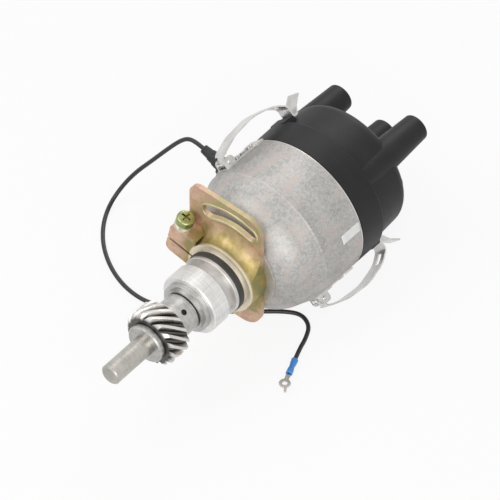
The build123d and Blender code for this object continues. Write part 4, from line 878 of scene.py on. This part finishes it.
@dataclass
class Bowl:
    """Cast housing with its seal, grommet and blank sticker."""

    finishes: Finishes
    grommet_angle: float = 16.0
    grommet_height: float = 44.5 * MM
    grommet_reach: float = 63.7 * MM
    grommet_start: float = 40.6 * MM
    grommet_flange: float = 47.0 * MM
    plug_profile: Outline = ((-0.3, 0.0), (0.0, 0.4))
    flange_profile: Outline = ((0.0, 0.0), (1.2, 0.0), (1.4, 0.4), (1.1, 1.9), (0.7, 2.3), (-0.4, 2.7))
    tip_profile: Outline = ((-0.1, -0.9), (-0.3, -0.1), (-0.8, 0.0))
    sleeve_steps: int = 3
    sleeve_rise: float = 3.2 * MM
    sleeve_tip: float = 1.2 * MM
    outside: float = 45.0 * MM
    tip_radius: float = 2.9 * MM
    base_radius: float = 4.9 * MM
    shank: float = 19.5 * MM
    seal_height: float = -17.7 * MM
    seal_width: float = 4.5 * MM
    seal_profile: Outline = (
        (-2.2, 0.42), (-1.7, 0.55), (-0.2, 0.58), (0.02, 1.0), (0.27, 0.86), (0.45, 0.45)
    )
    sticker_angle: float = 162.6
    sticker_width: float = 16.0 * MM
    sticker_length: float = 6.1 * MM
    sticker_middle: float = 51.3 * MM
    sticker_gap: float = 0.03 * MM
    sticker_thickness: float = 0.12 * MM

    def build(self) -> None:
        """Dress the casting and add the pieces on its wall."""
        dress = {"housing": "cast_alloy", "lower_bush": "bush_bronze", "upper_bush": "bush_bronze"}
        for node, finish in dress.items():
            self.finishes.put(bpy.data.objects[node], finish)
        self.build_seal()
        self.build_grommet()
        self.build_sticker()
        LOG.info("bowl: casting, seal, grommet and sticker")

    def build_seal(self) -> None:
        """Make the rubber seal, pressed flat into the shank's groove."""
        half = self.seal_width / 2
        lower = [(self.shank + out * MM, -share * half) for out, share in self.seal_profile]
        upper = [(radius, -height) for radius, height in reversed(lower)]
        place = pointing(Vector((self.seal_height, 0, 0)), Vector((1, 0, 0)))
        seal = finished(lathe([upper[-1], *lower, *upper], 96), "seal_ring", place)
        self.finishes.put(seal, "seal_rubber")
        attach(seal, "housing")
        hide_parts("o_ring")

    def build_grommet(self) -> None:
        """Make the stepped rubber grommet round the lead's exit."""
        start, flange, reach = self.grommet_start, self.grommet_flange, self.grommet_reach
        wide, narrow = self.base_radius - 0.4 * MM, self.tip_radius + 0.2 * MM
        rise = flange + self.sleeve_rise
        pitch = (reach - self.sleeve_tip - rise) / self.sleeve_steps
        outline = [(0.0, start)]
        outline += stepped(self.plug_profile, self.base_radius, start)
        outline += stepped(self.flange_profile, self.base_radius, flange)
        for step in range(self.sleeve_steps):
            share = step / (self.sleeve_steps - 1)
            radius = wide * (1 - share) + narrow * share
            low = rise + step * pitch
            outline += [(radius, low), (radius - 0.12 * MM, low + 0.5 * pitch),
                        (radius - 0.3 * MM, low + 0.92 * pitch)]
        outline += stepped(self.tip_profile, self.tip_radius, reach)
        outline.append((0.0, reach))
        turn = math.radians(self.grommet_angle)
        direction = Vector((0.0, math.cos(turn), math.sin(turn)))
        place = pointing(Vector((self.grommet_height, 0, 0)), direction)
        grommet = finished(lathe(outline, 48), "grommet_rubber", place)
        self.finishes.put(grommet, "grommet_rubber")
        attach(grommet, "housing")
        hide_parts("grommet")

    def build_sticker(self) -> None:
        """Lay a thin blank sticker on the bowl near the rim."""
        mesh = bmesh.new()
        bmesh.ops.create_grid(mesh, x_segments=8, y_segments=24, size=0.5)
        middle = math.radians(self.sticker_angle)
        reach = self.outside + self.sticker_gap
        for vert in mesh.verts:
            turn = middle + vert.co.y * self.sticker_length / self.outside
            along = self.sticker_middle + vert.co.x * self.sticker_width
            vert.co = (along, reach * math.cos(turn), reach * math.sin(turn))
        bmesh.ops.recalc_face_normals(mesh, faces=mesh.faces)
        bmesh.ops.solidify(mesh, geom=mesh.faces, thickness=-self.sticker_thickness)
        sticker = finished(mesh, "sticker_plate", Matrix.Identity(4))
        self.finishes.put(sticker, "sticker_film")
        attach(sticker, "housing")


@dataclass
class SlotRim:
    """Raised rim pressed up round the clamp plate's arc slot."""

    finishes: Finishes
    face: float = -3.0 * MM
    slot_centre: float = 39.0 * MM
    slot_half: float = 4.2 * MM
    slot_start: float = 64.0
    slot_end: float = 110.0
    half_width: float = 0.85 * MM
    proud: float = 0.55 * MM

    def build(self) -> None:
        """Sweep the rim's round profile once round the slot."""
        edge = self.slot_half + self.half_width
        mesh = bmesh.new()
        bmesh.ops.create_circle(mesh, cap_ends=False, segments=16, radius=1.0)
        size = Matrix.Diagonal((self.proud, self.half_width, 1.0, 1.0))
        start = Matrix.Rotation(math.radians(self.slot_start), 4, "X")
        shift = Matrix.Translation((self.face, self.slot_centre + edge, 0.0))
        bmesh.ops.transform(mesh, matrix=start @ shift @ size, verts=mesh.verts)
        arc = math.radians(self.slot_end - self.slot_start)
        last = self.swept([*mesh.verts, *mesh.edges], mesh, Vector(), arc, 28)
        last = self.swept(last, mesh, self.slot_tip(self.slot_end), math.pi, 14)
        last = self.swept(last, mesh, Vector(), -arc, 28)
        self.swept(last, mesh, self.slot_tip(self.slot_start), math.pi, 14)
        bmesh.ops.remove_doubles(mesh, verts=mesh.verts, dist=1e-6)
        bmesh.ops.recalc_face_normals(mesh, faces=mesh.faces)
        rim = finished(mesh, "slot_rim", Matrix.Identity(4))
        self.finishes.put(rim, "rim_zinc")
        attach(rim, "clamp")
        LOG.info("slot rim: one swept bead")

    def slot_tip(self, angle: float) -> Vector:
        """Middle of one rounded end of the slot.

        Args:
            angle: Its angle about the shaft, in degrees from +Y towards +Z.

        Returns:
            The point.
        """
        turn = math.radians(angle)
        return Vector((0.0, self.slot_centre * math.cos(turn), self.slot_centre * math.sin(turn)))

    def swept(
        self, geometry: list, mesh: bmesh.types.BMesh, centre: Vector, angle: float, steps: int
    ) -> list:
        """Spin the open end of the rim onwards about a line along the shaft.

        Args:
            geometry: Vertices and edges of the open end.
            mesh: Mesh that grows.
            centre: Point on the line.
            angle: Turn in radians.
            steps: Faces along the turn.

        Returns:
            The new open end.
        """
        grown = bmesh.ops.spin(mesh, geom=geometry, cent=centre, axis=(1, 0, 0), angle=angle, steps=steps)
        return grown["geom_last"]


@dataclass
class Dressing:
    """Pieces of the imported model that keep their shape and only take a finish."""

    finishes: Finishes

    def build(self) -> None:
        """Dress each named piece."""
        groups = {
            "yellow_zinc": ["clamp_plate"],
            "green_zinc": ["clamp_screw"],
            "washer_zinc": ["clamp_flat_washer", "clamp_lock_washer"],
            "ground_steel": ["main_shaft"],
            "dark_pin": ["gear_pin"],
            "gear_steel": ["drive_gear"],
            "washer_steel": ["thrust_washer"],
            "inner_steel": ["advance_plate", "advance_springs", "advance_weight_1", "advance_weight_2",
                            "cam"],
            "rotor_moulding": ["rotor_arm"],
            "contact_brass": ["rotor_electrode", "cap_terminal_1", "cap_terminal_2", "cap_terminal_3",
                              "centre_terminal"],
            "leaf_steel": ["rotor_spring", "contact_spring", "brush_spring"],
            "plated_sheet": ["breaker_plate", "plate_screws", "contact_base", "contact_screw", "contact_arm",
                             "condenser_screw"],
            "post_moulding": ["lead_terminal"],
            "condenser_can": ["condenser"],
            "cap_moulding": ["distributor_cap"],
            "brush_carbon": ["carbon_brush"],
            "bracket_steel": ["clip_bracket_1", "clip_bracket_2", "clip_rivets"],
            "pin_steel": ["clip_pin_1", "clip_pin_2"],
            "clip_steel": ["cap_clip_1", "cap_clip_2"],
        }
        for finish, nodes in groups.items():
            for node in nodes:
                self.finishes.put(bpy.data.objects[node], finish)
            LOG.info("%s: %s", finish, ", ".join(nodes))


def main() -> None:
    """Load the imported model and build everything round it."""
    logging.basicConfig(level=logging.INFO, format="%(message)s")
    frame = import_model()
    LOG.info("loaded %d nodes", len(frame["nodes"]))
    Studio().build()
    finishes = Finishes()
    Lead(finishes).build()
    Bowl(finishes).build()
    SlotRim(finishes).build()
    Dressing(finishes).build()


if __name__ == "__main__":
    main()
